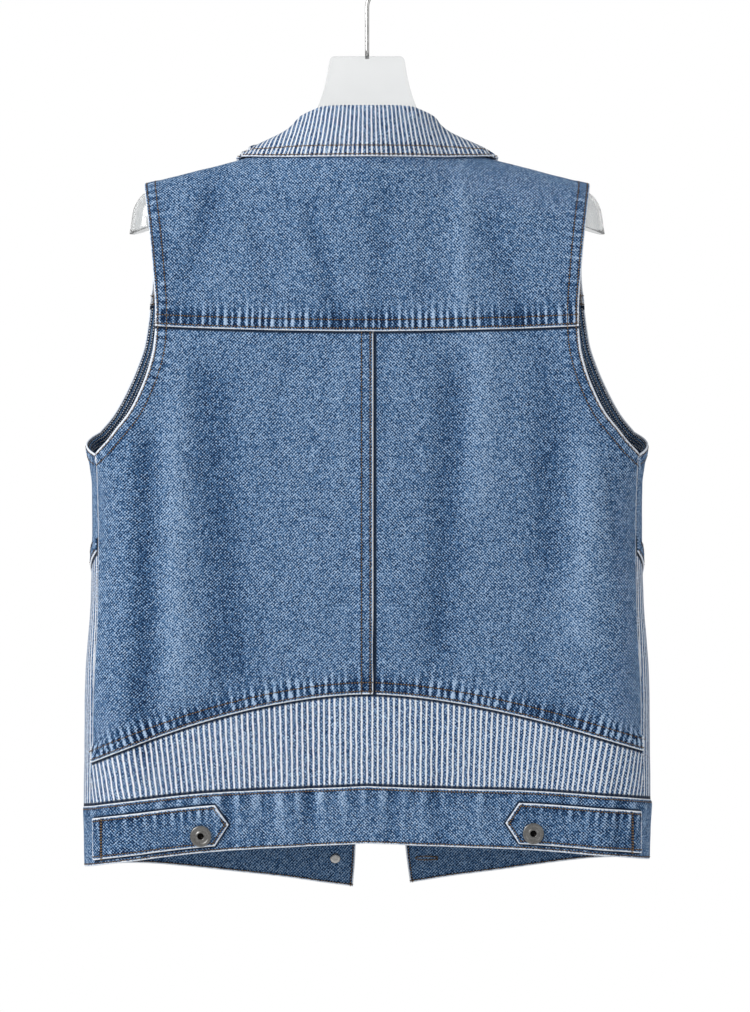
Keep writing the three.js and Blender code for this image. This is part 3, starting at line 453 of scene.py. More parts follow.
def back_panel_base(side):
    """Its share across runs from 0 to 1 below the yoke and from 1 to 2 below the armhole."""

    def base(a, b):
        inner = side * CENTRE_SEAM_X + SEAM / 2
        under_arm = a > 1
        arm_drop = mix(BACK_CORNER_DROP, ARMHOLE_BACK["drop"][-1], np.clip(a - 1, 0, 1))
        column = np.where(under_arm, armhole_back(arm_drop), mix(inner, BACK_CORNER, np.minimum(a, 1)))
        top = np.where(under_arm, arm_drop, back_yoke_drop(column) + SEAM / 2)
        half = column
        for _ in range(4):
            drop = mix(top, hem_insert_drop(half, side) + LAP_OVER, b)
            seam_half = reading(SIDE_SEAM, "half", drop) - SEAM / 2
            spread = (seam_half - BACK_CORNER) / (UNDERARM_HALF - BACK_CORNER)
            half = np.where(column > BACK_CORNER, BACK_CORNER + (column - BACK_CORNER) * spread, column)
        return body_point(girth_at(half, drop, False), drop, side)

    return base


def hem_insert_base(a, b):
    side = np.where(a < 0, -1.0, 1.0)
    share = np.abs(a)
    girth = share * side_seam_girth(np.full(np.shape(a), 745.0))
    drop = np.full(np.shape(a), 720.0)
    for _ in range(4):
        half = np.abs(body_point(girth, drop, 1)[..., 0])
        drop = mix(hem_insert_drop(half, side) + SEAM / 2, band_top_drop(girth) - SEAM / 2, b)
        girth = share * (side_seam_girth(drop) - SEAM / 2)
    return body_point(girth, drop, side)


def waistband_base(a, b):
    side = np.where(a < 0, -1.0, 1.0)
    level = np.full(np.shape(a), 800.0)
    for _ in range(5):
        girth = np.abs(a) * front_edge(level, side, 0)
        level = mix(band_top_drop(girth) + SEAM / 2 - BAND_OVER, hem_drop(girth), b)
    return body_point(girth, level, side)


def tab_base(side):
    def base(a, b):
        point = mix(TAB_CORNER, TAB_TIP, 1 - np.abs(2 * b - 1))
        girth = mix(point, TAB_END, a)
        drop = mix(band_top_drop(girth), hem_drop(girth), mix(TAB_TOP, TAB_BOTTOM, b))
        return body_point(girth, drop, side)

    return base


def front_yoke_base(side):
    def placket_half(drop):
        whole = girth_at(np.zeros(np.shape(drop)), drop, True)
        return whole - front_edge(drop, side, PLACKET_WIDTH + SEAM)

    def base(a, b):
        inner_top = placket_half(np.array(220.0))
        on_neck = a < 0.33
        neck_top = mix(inner_top, NECK_HALF, np.minimum(a / 0.33, 1))
        top_half = np.where(on_neck, neck_top, mix(NECK_HALF + 0.2, SHOULDER_TIP, (a - 0.33) / 0.67))
        neck_turn = crown_turn_at(top_half, neckline_drop(top_half, True))
        top_turn = np.where(on_neck, neck_turn, SHOULDER_TURN + SEAM / 38)
        share = mix((top_half - inner_top) / (SHOULDER_TIP - inner_top), a, b)
        half = mix(inner_top, SHOULDER_TIP, share)
        for _ in range(4):
            bottom_turn = crown_turn_at(half, front_yoke_drop(half) + LAP_OVER)
            base = crown_point(half, -mix(top_turn, bottom_turn, b), side)
            drop = -base[..., 2]
            half = mix(placket_half(drop), armhole_front(drop), share)
        return base

    return base


def front_outer_line():
    """The armhole's front stretch and the side seam down to the slanted seam: girths and drops."""
    front_drop = np.linspace(FRONT_YOKE_DROP, 414, 60)
    front_girth = girth_at(armhole_front(front_drop), front_drop, True)
    seam_drop = np.linspace(ARMHOLE_BACK["drop"][-1], SLANT_SIDE_DROP, 40)
    seam_girth = side_seam_girth(seam_drop)
    turn = {
        "girth": (seam_girth[0], *UNDERARM["girth"][::-1], front_girth[-1]),
        "drop": (seam_drop[0], *UNDERARM["drop"][::-1], front_drop[-1]),
    }
    under_girth = np.linspace(front_girth[-1], seam_girth[0], 34)[1:-1]
    under_drop = reading(turn, "drop", under_girth, "girth")
    girth = np.concatenate([front_girth, under_girth, seam_girth])
    drop = np.concatenate([front_drop, under_drop, seam_drop])
    way = np.concatenate([[0], np.cumsum(np.hypot(np.diff(girth), np.diff(drop)))])
    return girth, drop, way / way[-1], way[len(front_girth) + len(under_girth)] / way[-1]


def front_chest_base(side):
    outer_girth, outer_drop, outer_way, _ = front_outer_line()

    def base(a, b):
        start_girth = np.interp(b, outer_way, outer_girth)
        start_drop = np.interp(b, outer_way, outer_drop) + SEAM / 2
        low = slant_drop(1.0) + LAP_OVER
        inner_drop = mix(front_yoke_drop(45) + SEAM / 2, low, b)
        curve = slant_drop(a) - mix(SLANT_SIDE_DROP, SLANT_SIDE_DROP + SLANT_FALL, a)
        drop = mix(start_drop + b * LAP_OVER, inner_drop, a) + b**3 * curve
        edge = front_edge(np.broadcast_to(inner_drop, np.shape(drop)), side, PLACKET_WIDTH + SEAM)
        return body_point(mix(start_girth, edge, a), drop, side)

    return base


def front_lower_base(side):
    def base(a, b):
        drop = mix(slant_drop(a), 750, b)
        for _ in range(6):
            edge = front_edge(drop, side, PLACKET_WIDTH + SEAM)
            girth = mix(side_seam_girth(drop) + SEAM / 2, edge, a)
            drop = mix(slant_drop(a) + SEAM / 2, band_top_drop(girth) - SEAM / 2, b)
        return body_point(girth, drop, side)

    return base


def placket_base(side):
    def base(a, b):
        inset = mix(PLACKET_WIDTH, 0, a)
        top_level = np.full(np.shape(a), 220.0)
        whole = girth_at(np.zeros(np.shape(a)), top_level, True)
        across = np.abs(whole - front_edge(top_level, side, inset))
        bottom_level = np.full(np.shape(a), 770.0)
        bottom = band_top_drop(front_edge(bottom_level, side, inset)) - SEAM / 2
        drop = mix(neckline_drop(across, True), bottom, b)
        return body_point(front_edge(drop, side, inset), drop, side)

    return base


def way_along(points):
    steps = np.linalg.norm(np.diff(points, axis=0), axis=-1)
    return np.concatenate([[0], np.cumsum(steps)])


def point_at(at, way, points):
    """Points or directions of a line, read at ways along it."""
    return np.stack([np.interp(at, way, points[:, k]) for k in range(3)], axis=-1)


def stations(line_of, low, high, near_low, near_high, step):
    """Shares from low to high, close together near the ends and a step apart in between."""
    shares = np.linspace(low, high, 800)
    way = way_along(line_of(shares))
    first = [d for d in near_low if d < way[-1] / 2]
    last = [way[-1] - d for d in near_high if d < way[-1] / 2][::-1]
    gap = last[0] - first[-1]
    count = max(1, round(gap / step))
    between = np.linspace(first[-1], last[0], count + 1)[1:-1]
    return np.interp([*first, *between, *last], way, shares)


FAR = 99.0  # stands for no edge near, in millimetres
REACH = 45  # how far from a line its distances are worked out, in millimetres


def nearest(points, line):
    """How far points lie from a line, and how far along it, for those within its reach."""
    flat = points.reshape(-1, 3)
    away = np.full(len(flat), FAR)
    along = np.zeros(len(flat))
    rough = np.min([np.linalg.norm(flat - p, axis=1) for p in line[:: max(1, len(line) // 24)]], axis=0)
    spread = way_along(line)[-1] / 20
    close = np.flatnonzero(rough < REACH + spread)
    start, step = line[:-1], np.diff(line, axis=0)
    size = np.maximum((step**2).sum(-1), 1e-9)
    way = way_along(line)
    for part in np.array_split(close, max(1, len(close) // 3000)):
        from_start = flat[part][:, None, :] - start[None]
        t = np.clip((from_start * step[None]).sum(-1) / size, 0, 1)
        off = np.linalg.norm(from_start - t[..., None] * step[None], axis=-1)
        k = off.argmin(1)
        rows = np.arange(len(part))
        away[part] = off[rows, k]
        along[part] = way[k] + t[rows, k] * np.sqrt(size[k])
    return away.reshape(points.shape[:-1]), along.reshape(points.shape[:-1])


Seam = namedtuple("Seam", "line inwards kind seed overrun")


def seam_on(base, across, down, kind, seed, inside, overrun=0.0):
    """A stitched edge along shares of a piece; inside is a small step in the shares towards the piece, and
    overrun is how far a row runs on past the line's end, a millimetre of its distance from the edge."""
    across, down = np.broadcast_arrays(np.asarray(across, float), np.asarray(down, float))
    line = base(across, down)
    towards = base(across + inside[0], down + inside[1]) - line
    tangent = unit(np.gradient(line, axis=0))
    towards = towards - (towards * tangent).sum(-1, keepdims=True) * tangent
    return Seam(line, unit(towards), kind, seed, overrun)


def puckers(along, pitch, seed):
    """Uneven puckers along a seam, about from -1 to 1, with narrow ridges."""
    a, b, c, d = np.random.default_rng(seed).uniform(0, 6.28, 4)
    wave = np.sin(2 * math.pi * along / pitch + 1.3 * np.sin(along / (2.9 * pitch) + a) + b)
    size = 0.68 + 0.32 * np.sin(along / (3.7 * pitch) + c)
    other = 0.35 * np.sin(2 * math.pi * along / (1.63 * pitch) + d)
    return np.clip((wave + other) * size, -1.2, 1.2)


def seam_effect(kind, away, along, seed):
    """What a stitched edge does: how far it stands out, how worn its puckers are, and painted shade along its
    rows.
    """
    height = kind.raised * (1 - smooth_step(kind.strip, kind.strip + 2.5, away))
    height = height - 0.7 * (1 - smooth_step(0, 1.2, away)) ** 2
    for row in kind.rows:
        height = height - 0.3 * np.exp(-(((away - row) / 0.75) ** 2))
    first, last = (kind.rows[0], kind.rows[-1]) if kind.rows else (2.0, 2.0)
    inside = smooth_step(0.3 * first, 1.6 * first, away)
    reach = np.exp(-((np.maximum(0, away - last) / kind.fade) ** 1.3))
    amount = inside * reach * (away < 40)
    wave = puckers(along, kind.pitch, seed)
    rubbed = (1.5 * smooth_step(-0.1, 0.9, wave) - 0.45) * amount * kind.contrast
    # Painted shade along each row of thread, where the stitches sink into the cloth.
    for row in kind.rows:
        rubbed = rubbed - 0.9 * np.exp(-(((away - row) / 0.85) ** 2))
    return height + kind.pucker * wave * amount, rubbed


def relief(base, seams):
    """The height, wear with painted shade along thread rows, and nearest edge of the cloth at points of the
    body.
    """
    height = np.zeros(base.shape[:-1])
    wear_and_shade = np.zeros(base.shape[:-1])
    edge = np.full(base.shape[:-1], FAR)
    for seam in seams:
        away, along = nearest(base, seam.line)
        rise, worn = seam_effect(seam.kind, away, along, seam.seed)
        height = np.where(np.abs(rise) > np.abs(height), rise, height)
        # worn holds the rubbed puckers and the painted shade along the rows of thread.
        wear_and_shade = wear_and_shade + worn
        # A turned armhole is worn most where it is handled, at the underarm.
        width = seam.kind.worn
        if seam.kind is TURNED:
            width = mix(0.75, 2.2, smooth_step(250, 400, -base[..., 2]))
        edge = np.minimum(edge, away / width)
    return height, wear_and_shade, edge


def finished_mesh(bm, name, smooth=False):
    for face in bm.faces:
        face.smooth = face.smooth or smooth
    mesh = bpy.data.meshes.new(name)
    bm.to_mesh(mesh)
    bm.free()
    return mesh


def linked(name, data):
    """A new object, in the scene."""
    found = bpy.data.objects.new(name, data)
    bpy.context.scene.collection.objects.link(found)
    return found


def grid_mesh(name, points, uv, attributes, outwards):
    """A mesh from a grid of points in metres, with one UV map and attributes at its points."""
    rows, columns = points.shape[:2]
    bm = bmesh.new()
    bmesh.ops.create_grid(bm, x_segments=columns - 1, y_segments=rows - 1, size=1)
    x = np.array([v.co.x for v in bm.verts])
    y = np.array([v.co.y for v in bm.verts])
    j = np.rint((x + 1) / 2 * (columns - 1)).astype(int)
    i = np.rint((y + 1) / 2 * (rows - 1)).astype(int)
    along = np.diff(points, axis=1)[:-1]
    down = np.diff(points, axis=0)[:, :-1]
    facing = (np.cross(along, down) * outwards[:-1, :-1]).sum()
    if facing < 0:
        bmesh.ops.reverse_faces(bm, faces=bm.faces[:])
    mesh = finished_mesh(bm, name, smooth=True)
    mesh.vertices.foreach_set("co", points[i, j].astype(np.float32).ravel())
    index = np.zeros(len(mesh.loops), int)
    mesh.loops.foreach_get("vertex_index", index)
    layer = mesh.uv_layers.new(name="weave")
    layer.data.foreach_set("uv", uv[i, j][index].astype(np.float32).ravel())
    for key, values in attributes.items():
        made = mesh.attributes.new(key, "FLOAT", "POINT")
        made.data.foreach_set("value", values[i, j].astype(np.float32).ravel())
    mesh.update()
    return mesh


def new_object(name, mesh, materials):
    found = linked(name, mesh)
    for material in materials:
        mesh.materials.append(material)
    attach(found, "root")
    return found


def solidify(found, thick, offset=-1.0, inside_material=0):
    made = found.modifiers.new("cloth thickness", "SOLIDIFY")
    made.thickness = thick / 1000
    made.offset = offset
    made.material_offset = inside_material
    made.use_quality_normals = True
    return made


def settings():
    return bpy.context.scene.vest


def thread_rows(name, rows, thickness, pitch, material="thread"):
    """Rows of stitches: each row is one thread that comes up for every stitch and dips in between."""
    sides, per_stitch = 5, 3
    bm = bmesh.new()
    phase_layer = bm.verts.layers.float.new("phase")
    for points, normals in rows:
        way = way_along(points)
        if way[-1] < 2 * pitch:
            continue
        count = max(2, round(way[-1] / pitch))
        at = np.linspace(0, way[-1], count * per_stitch + 1)
        line = point_at(at, way, points)
        normal = unit(point_at(at, way, normals))
        side = unit(np.cross(normal, np.gradient(line, axis=0)))
        dips = np.arange(len(at)) % per_stitch == 0
        radius = np.where(dips, 0.6, 1.0) * thickness / 2
        line = line + normal * np.where(dips, -0.12 * thickness, 0.22 * thickness)[:, None]
        turn = np.linspace(0, 2 * math.pi, sides + 1)
        ring = (
            side[:, None] * np.cos(turn)[None, :, None] + 0.8 * normal[:, None] * np.sin(turn)[None, :, None]
        )
        tube = in_metres(line[:, None] + radius[:, None, None] * ring)
        made = bmesh.ops.create_grid(bm, x_segments=len(at) - 1, y_segments=sides, size=1)
        for vert in made["verts"]:
            i = round((vert.co.x + 1) / 2 * (len(at) - 1))
            j = round((vert.co.y + 1) / 2 * sides)
            vert.co = tube[i, j]
            vert[phase_layer] = 0.0 if dips[i] else 1.0
    bmesh.ops.remove_doubles(bm, verts=bm.verts[:], dist=1e-6)
    bmesh.ops.recalc_face_normals(bm, faces=bm.faces[:])
    mesh = finished_mesh(bm, name, smooth=True)
    return new_object(name, mesh, [material_for(material)])


def way_under(points, covers):
    """How far points lie beyond the edges of the pieces that cover them."""
    under = np.full(points.shape[:-1], FAR)
    for line, lap in covers:
        away, _ = nearest(points, line)
        under = np.minimum(under, away - lap)
    return under


def stitching(name, seams, off, covers, inner_off, inner_thread):
    """The rows of thread of a piece's stitched edges, outside and, where its off is given, inside."""
    own = settings()
    rows, inner_rows = [], []
    for seam in seams:
        for row in seam.kind.rows:
            base = seam.line + seam.inwards * row
            if seam.overrun:
                onwards = unit(base[-1] - base[-6]) * seam.overrun * row
                base = np.concatenate([base, base[-1] + onwards * np.linspace(0.25, 1, 4)[:, None]])
            base = settle(base)
            base = base[way_under(base, covers) > -0.4]
            height, _, _ = relief(base, seams)
            height = height * smooth_step(0.5, 5.0, way_under(base, covers))
            rows.append((cloth_point(base, off + height), body_normal(base)))
            if inner_off is not None:
                inner_rows.append((cloth_point(base, inner_off + height), -body_normal(base)))
    thickness, pitch = own.thread_thickness * 1000, own.stitch_length * 1000
    made = [thread_rows(name, rows, thickness, pitch)]
    if inner_rows:
        made.append(thread_rows(f"{name}_inside", inner_rows, thickness, pitch, inner_thread))
    return made


Sheet = namedtuple("Sheet", "flat area")


def ways(points, axis):
    """The way along a grid from its first row or column."""
    steps = np.linalg.norm(np.diff(points, axis=axis), axis=-1)
    first = np.zeros_like(np.take(steps, [0], axis=axis))
    return np.concatenate([first, np.cumsum(steps, axis=axis)], axis=axis)


def weave_ways(on_body, on_front, strip):
    """The way round the body and the way down the cloth, so that the weave hangs straight on each piece.
    Seen from outside, the way round grows to the viewer's right. A strip has its own ways instead."""
    if strip:
        return ways(on_body, 1), ways(on_body, 0)
    x, y, drop = on_body[..., 0], on_body[..., 1], -on_body[..., 2]
    front = (y > 0) if on_front is None else np.full(x.shape, on_front)
    below_shoulders = np.where(front, 1, smooth_step(250, 330, drop))
    round_way = mix(x, np.sign(x) * girth_at(np.abs(x), drop, front), below_shoulders)
    step = np.linalg.norm(np.diff(on_body, axis=0), axis=-1)
    straight_down = np.abs(np.diff(drop, axis=0))
    fall = np.maximum(straight_down, np.sqrt(np.maximum(0, step**2 - np.diff(round_way, axis=0) ** 2)))
    below = np.concatenate([np.cumsum(fall[::-1], axis=0)[::-1], np.zeros((1, x.shape[1]))], axis=0)
    return round_way, drop[-1:] - below


def cloth(
    name, base, across, down, seams, node, material, off=DENIM, thick=DENIM, covers=(),
    shadow_outlines=(), on_front=None, strip=False, stripe=None, inside="denim_inside", inner_off=None,
    inner_thread="thread", stitched=True,
):
    """One piece of cloth: its points, weave, wear and painted shade, thickness, and the stitching of its
    edges.
    Covers are the edges that lie over it, each with its lap; the shadow outlines are those of what lies on
    it.
    Beside both, a painted shadow darkens the cloth."""
    b, a = np.meshgrid(down, across, indexing="ij")
    on_body = base(a, b)
    height, wear_and_shade, edge = relief(on_body, seams)
    # How far beyond a covering edge: for the painted shadow beside it, and to flatten the relief there.
    under = way_under(on_body, covers)
    height = height * smooth_step(0.5, 5.0, under)
    # Painted shadow round what lies on the cloth, such as the tabs on the waistband.
    for line in shadow_outlines:
        under = np.minimum(under, np.abs(nearest(on_body, line)[0]) + 0.7)
    normals = body_normal(on_body)
    points = in_metres(cloth_point(on_body, off + height))
    u, v = weave_ways(on_body, on_front, strip)
    uv = np.stack([stripe(u, v) if stripe else u, v], axis=-1) / 1000
    # Painted shade of the soft folds: lighter colour on their ridges, darker in their hollows.
    folds = fold_height(on_body) / 3
    attributes = {"wear_and_shade": wear_and_shade, "fold": folds, "edge": edge, "under": under}
    mesh = grid_mesh(name, points, uv, attributes, normals)
    lining = material_for(inside)
    found = new_object(name, mesh, [material_for(material), lining])
    solidify(found, thick, inside_material=1)
    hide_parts(node)
    rows = []
    if stitched and seams:
        rows = stitching(f"{name}_stitching", seams, off, covers, inner_off, inner_thread)


# Materials.
def srgb(text):
    """An sRGB hex colour as linear values."""
    parts = [int(text[i : i + 2], 16) / 255 for i in (1, 3, 5)]
    return tuple(p / 12.92 if p <= 0.04045 else ((p + 0.055) / 1.055) ** 2.4 for p in parts)


def add_node(tree, kind, values=None, links=None, **options):
    """Adds a node with its settings, its sockets' values and what is linked to them."""
    node = tree.nodes.new(kind)
    for key, value in options.items():
        setattr(node, key, value)
    for key, value in (values or {}).items():
        node.inputs[key].default_value = value
    for key, source in (links or {}).items():
        tree.links.new(source, node.inputs[key])
    return node


def new_material(name):
    made = bpy.data.materials.new(name)
    made.use_nodes = True
    made.node_tree.nodes.clear()
    return made, made.node_tree


def finish_material(tree, values, links):
    shader = add_node(tree, "ShaderNodeBsdfPrincipled", values, links)
    add_node(tree, "ShaderNodeOutputMaterial", links={"Surface": shader.outputs[0]})


def math_node(tree, operation, a, b=None, clamped=False):
    """A sum, product or other of two values, each a number or a socket."""
    values, links = {}, {}
    for index, item in enumerate((a, b)):
        if item is None:
            continue
        if isinstance(item, (int, float)):
            values[index] = item
        else:
            links[index] = item
    node = add_node(tree, "ShaderNodeMath", values, links, operation=operation, use_clamp=clamped)
    return node.outputs[0]


def ramp_down(tree, source, low, high):
    """1 below low, 0 above high and smooth in between."""
    node = add_node(
        tree,
        "ShaderNodeMapRange",
        {"From Min": low, "From Max": high, "To Min": 1.0, "To Max": 0.0},
        {"Value": source},
        interpolation_type="SMOOTHSTEP",
    )
    return node.outputs[0]


# The places of a mix node's sockets for colours, whose names it has more than once.
MIX_SHARE, MIX_FIRST, MIX_SECOND, MIXED = 0, 6, 7, 2


def colour_mix(tree, share, first, second):
    """A colour between two, each given as linear values or as a socket."""
    values, links = {}, {MIX_SHARE: share}
    for place, item in ((MIX_FIRST, first), (MIX_SECOND, second)):
        if isinstance(item, tuple):
            values[place] = (*item, 1)
        else:
            links[place] = item
    return add_node(tree, "ShaderNodeMix", values, links, data_type="RGBA").outputs[MIXED]


def noise_on(tree, vector, scale, detail=1.5, roughness=0.55):
    node = add_node(
        tree,
        "ShaderNodeTexNoise",
        {"Scale": scale, "Detail": detail, "Roughness": roughness},
        {"Vector": vector},
    )
    return node.outputs["Fac"]


def speckled(tree, scale, detail, dark, light, roughness=0.55):
    """A colour that wanders between two over the object, and the noise that it follows."""
    place = add_node(tree, "ShaderNodeTexCoord").outputs["Object"]
    noise = noise_on(tree, place, scale, detail, roughness)
    return colour_mix(tree, noise, dark, light), noise


TWILL_PITCH = 1.95  # mm between twill lines; real denim has about 1.1 mm, too fine for the render
CROSS_PITCH = 2.15
FLECK = 0.8  # mm across a fleck of white weft, drawn coarse for the same reason


def dot_with(tree, vector, x, y):
    node = add_node(tree, "ShaderNodeVectorMath", {1: (x, y, 0)}, {0: vector}, operation="DOT_PRODUCT")
    return node.outputs["Value"]


def scaled(tree, source, strength, centre=0.5):
    """How far a value is from its centre, made stronger or weaker."""
    node = add_node(
        tree, "ShaderNodeMath", {1: strength, 2: -centre * strength}, {0: source}, operation="MULTIPLY_ADD"
    )
    return node.outputs[0]


def total(tree, *sources):
    value = sources[0]
    for source in sources[1:]:
        value = math_node(tree, "ADD", value, source)
    return value


def denim(name, ramp, worn, shadow_tint, stripe=None, rub_and_shade_strength=0.5, tone=0.0):
    """Washed cotton denim, a warp-faced twill: indigo warp and white weft give a fine slanting fleck,
    the cloth is rubbed pale on its puckers and edges and stays dark between puckers; painted shade makes its
    folds lighter on their ridges and darker in their hollows, and painted shadow darkens it along rows of
    thread, beside lapped edges and round what lies on it."""
    made, tree = new_material(name)
    uv = add_node(tree, "ShaderNodeUVMap", uv_map="weave").outputs[0]
    mm = add_node(
        tree, "ShaderNodeVectorMath", {1: (1000, 1000, 0)}, {0: uv}, operation="MULTIPLY"
    ).outputs[0]
    read = {
        key: add_node(tree, "ShaderNodeAttribute", attribute_name=key).outputs["Fac"]
        for key in ("wear_and_shade", "fold", "edge", "under")
    }
    # Across the twill lines and along them.
    diagonal = math.sqrt(0.5)
    over = dot_with(tree, mm, diagonal, -diagonal)
    along = dot_with(tree, mm, diagonal, diagonal)
    wander = noise_on(tree, mm, 0.13, 1.0)
    turns = total(tree, scaled(tree, over, 2 * math.pi / TWILL_PITCH, 0.0), scaled(tree, wander, 2.5))
    twill = math_node(tree, "SINE", turns)
    stray = noise_on(tree, mm, 0.17, 1.0)
    cross_turns = total(tree, scaled(tree, along, 2 * math.pi / CROSS_PITCH, 0.0), scaled(tree, stray, 3.0))
    cross = math_node(tree, "SINE", cross_turns)
    slanted = add_node(
        tree, "ShaderNodeCombineXYZ", links={0: over, 1: scaled(tree, along, 0.34, 0.0)}
    ).outputs[0]
    streak = noise_on(tree, slanted, 1 / FLECK, 1.0, 0.6)
    cell = add_node(
        tree, "ShaderNodeVectorMath", {1: (FLECK, FLECK * 0.4, 1)}, {0: slanted}, operation="SNAP"
    ).outputs[0]
    fleck = add_node(
        tree, "ShaderNodeTexWhiteNoise", links={"Vector": cell}, noise_dimensions="2D"
    ).outputs["Value"]
    upright = add_node(
        tree, "ShaderNodeVectorMath", {1: (1, 0.22, 1)}, {0: mm}, operation="MULTIPLY"
    ).outputs[0]
    slub = noise_on(tree, upright, 0.11, 2.0, 0.6)
    cloud = noise_on(tree, mm, 0.022, 3.0, 0.6)
    grain = total(
        tree,
        scaled(tree, twill, 0.32, 0.0),
        scaled(tree, cross, 0.23, 0.0),
        scaled(tree, streak, 0.15),
        scaled(tree, fleck, 0.9),
    )
    # The value also holds painted shade: lighter on the ridges of folds, darker in their hollows and along
    # thread rows.
    value = total(
        tree,
        scaled(tree, grain, 1.0, -0.5 - tone),
        scaled(tree, cloud, 0.12),
        scaled(tree, slub, 0.1),
        scaled(tree, read["wear_and_shade"], rub_and_shade_strength, 0.0),
        scaled(tree, read["fold"], 0.22, 0.0),
    )
    colours = add_node(tree, "ShaderNodeValToRGB", links={"Fac": value})
    stops = colours.color_ramp.elements
    for place, _ in ramp[1:-1]:
        stops.new(place)
    for element, (place, shade) in zip(stops, ramp):
        element.position = place
        element.color = (*srgb(shade), 1)
    colour = colours.outputs["Color"]
    if stripe:
        pitch, share, white = stripe
        across = add_node(tree, "ShaderNodeSeparateXYZ", links={0: mm}).outputs[0]
        wobble = scaled(tree, noise_on(tree, mm, 0.09, 3.0), 1.6)
        fold_back = math_node(tree, "PINGPONG", math_node(tree, "ADD", across, wobble), pitch / 2)
        half_stripe = pitch * share / 2
        on_stripe = ramp_down(tree, fold_back, half_stripe - 0.3, half_stripe + 0.3)
        thin = math_node(tree, "ADD", scaled(tree, streak, 0.9), 0.86, clamped=True)
        pale = math_node(tree, "MULTIPLY", on_stripe, thin)
        colour = colour_mix(tree, pale, colour, white)
    near = total(
        tree,
        read["edge"],
        scaled(tree, streak, 2.0),
        scaled(tree, fleck, 0.9),
        scaled(tree, read["wear_and_shade"], -0.15, 0.0),
    )
    rubbed = math_node(tree, "MULTIPLY", ramp_down(tree, near, 0.75, 1.25), 0.95)
    colour = colour_mix(tree, rubbed, colour, worn)
    # Painted shadow: near black beside the edges that lie over the cloth and round what lies on it.
    shadow_share = math_node(tree, "MULTIPLY", ramp_down(tree, read["under"], 1.5, 3.1), 0.95)
    colour = colour_mix(tree, shadow_share, colour, shadow_tint)
    bump = add_node(
        tree,
        "ShaderNodeBump",
        {"Strength": 0.45, "Distance": 0.0004},
        {"Height": grain},
    ).outputs[0]
    finish_material(
        tree,
        {"Roughness": 0.92, "Specular IOR Level": 0.15, "Sheen Weight": 0.03, "Sheen Roughness": 0.5},
        {"Base Color": colour, "Normal": bump},
    )
    return made


BLUE_RAMP = (
    (0.0, "#0a1d39"),
    (0.25, "#24466f"),
    (0.5, "#42678f"),
    (0.75, "#6489b2"),
    (1.0, "#b0c7e2"),
)
STRIPE_RAMP = (
    (0.0, "#0a1b38"),
    (0.25, "#1d3d69"),
    (0.5, "#355986"),
    (0.75, "#5e81ab"),
    (1.0, "#b0c7e2"),
)
INSIDE_RAMP = (
    (0.0, "#0a1d39"),
    (0.25, "#284a72"),
    (0.5, "#43668e"),
    (0.75, "#5f83ab"),
    (1.0, "#9bb4d0"),
)


def thread_material(name, shade):
    """Polyester thread: slightly glossy, with painted shade where it dips into the cloth."""
    made, tree = new_material(name)
    phase = add_node(tree, "ShaderNodeAttribute", attribute_name="phase").outputs["Fac"]
    tan, _ = speckled(tree, 420, 1.0, tuple(c * 0.6 for c in shade), shade)
    # Painted shade: near black where the thread dips into the cloth between stitches.
    dip_shadow = ramp_down(tree, phase, 0.75, 1.0)
    colour = colour_mix(tree, dip_shadow, tan, srgb("#1d1512"))
    finish_material(tree, {"Roughness": 0.6, "Specular IOR Level": 0.3}, {"Base Color": colour})
    return made


def button_material(name, dark, light):
    """Antiqued nickel on a pressed steel button: dull and slightly uneven; made near black, the painted shade
    in its hole.
    """
    made, tree = new_material(name)
    colour, blotches = speckled(tree, 900, 3.0, srgb(dark), srgb(light), 0.65)
    rough = add_node(
        tree, "ShaderNodeMapRange", {"To Min": 0.22, "To Max": 0.5}, {"Value": blotches}
    ).outputs[0]
    finish_material(tree, {"Metallic": 1.0}, {"Base Color": colour, "Roughness": rough})
    return made


def hook_material():
    """Bright chromed steel wire, smooth from drawing."""
    made, tree = new_material("chromed_wire")
    colour, _ = speckled(tree, 260, 2.0, srgb("#a9a9a8"), srgb("#d4d4d3"))
    finish_material(tree, {"Metallic": 1.0, "Roughness": 0.16}, {"Base Color": colour})
    return made


def hanger_material():
    """Clear moulded polystyrene: a smooth glossy skin, faintly grey, with slight flow marks."""
    made, tree = new_material("clear_polystyrene")
    colour, _ = speckled(tree, 14, 2.0, srgb("#e9ebec"), srgb("#f7f8f8"))
    finish_material(
        tree,
        {"Roughness": 0.12, "IOR": 1.45, "Transmission Weight": 0.85},
        {"Base Color": colour},
    )
    return made


def floor_material():
    """Matt pale studio board."""
    made, tree = new_material("studio_board")
    colour, _ = speckled(tree, 30, 3.0, srgb("#f1f1f0"), srgb("#f8f8f7"))
    finish_material(tree, {"Roughness": 0.9}, {"Base Color": colour})
    return made


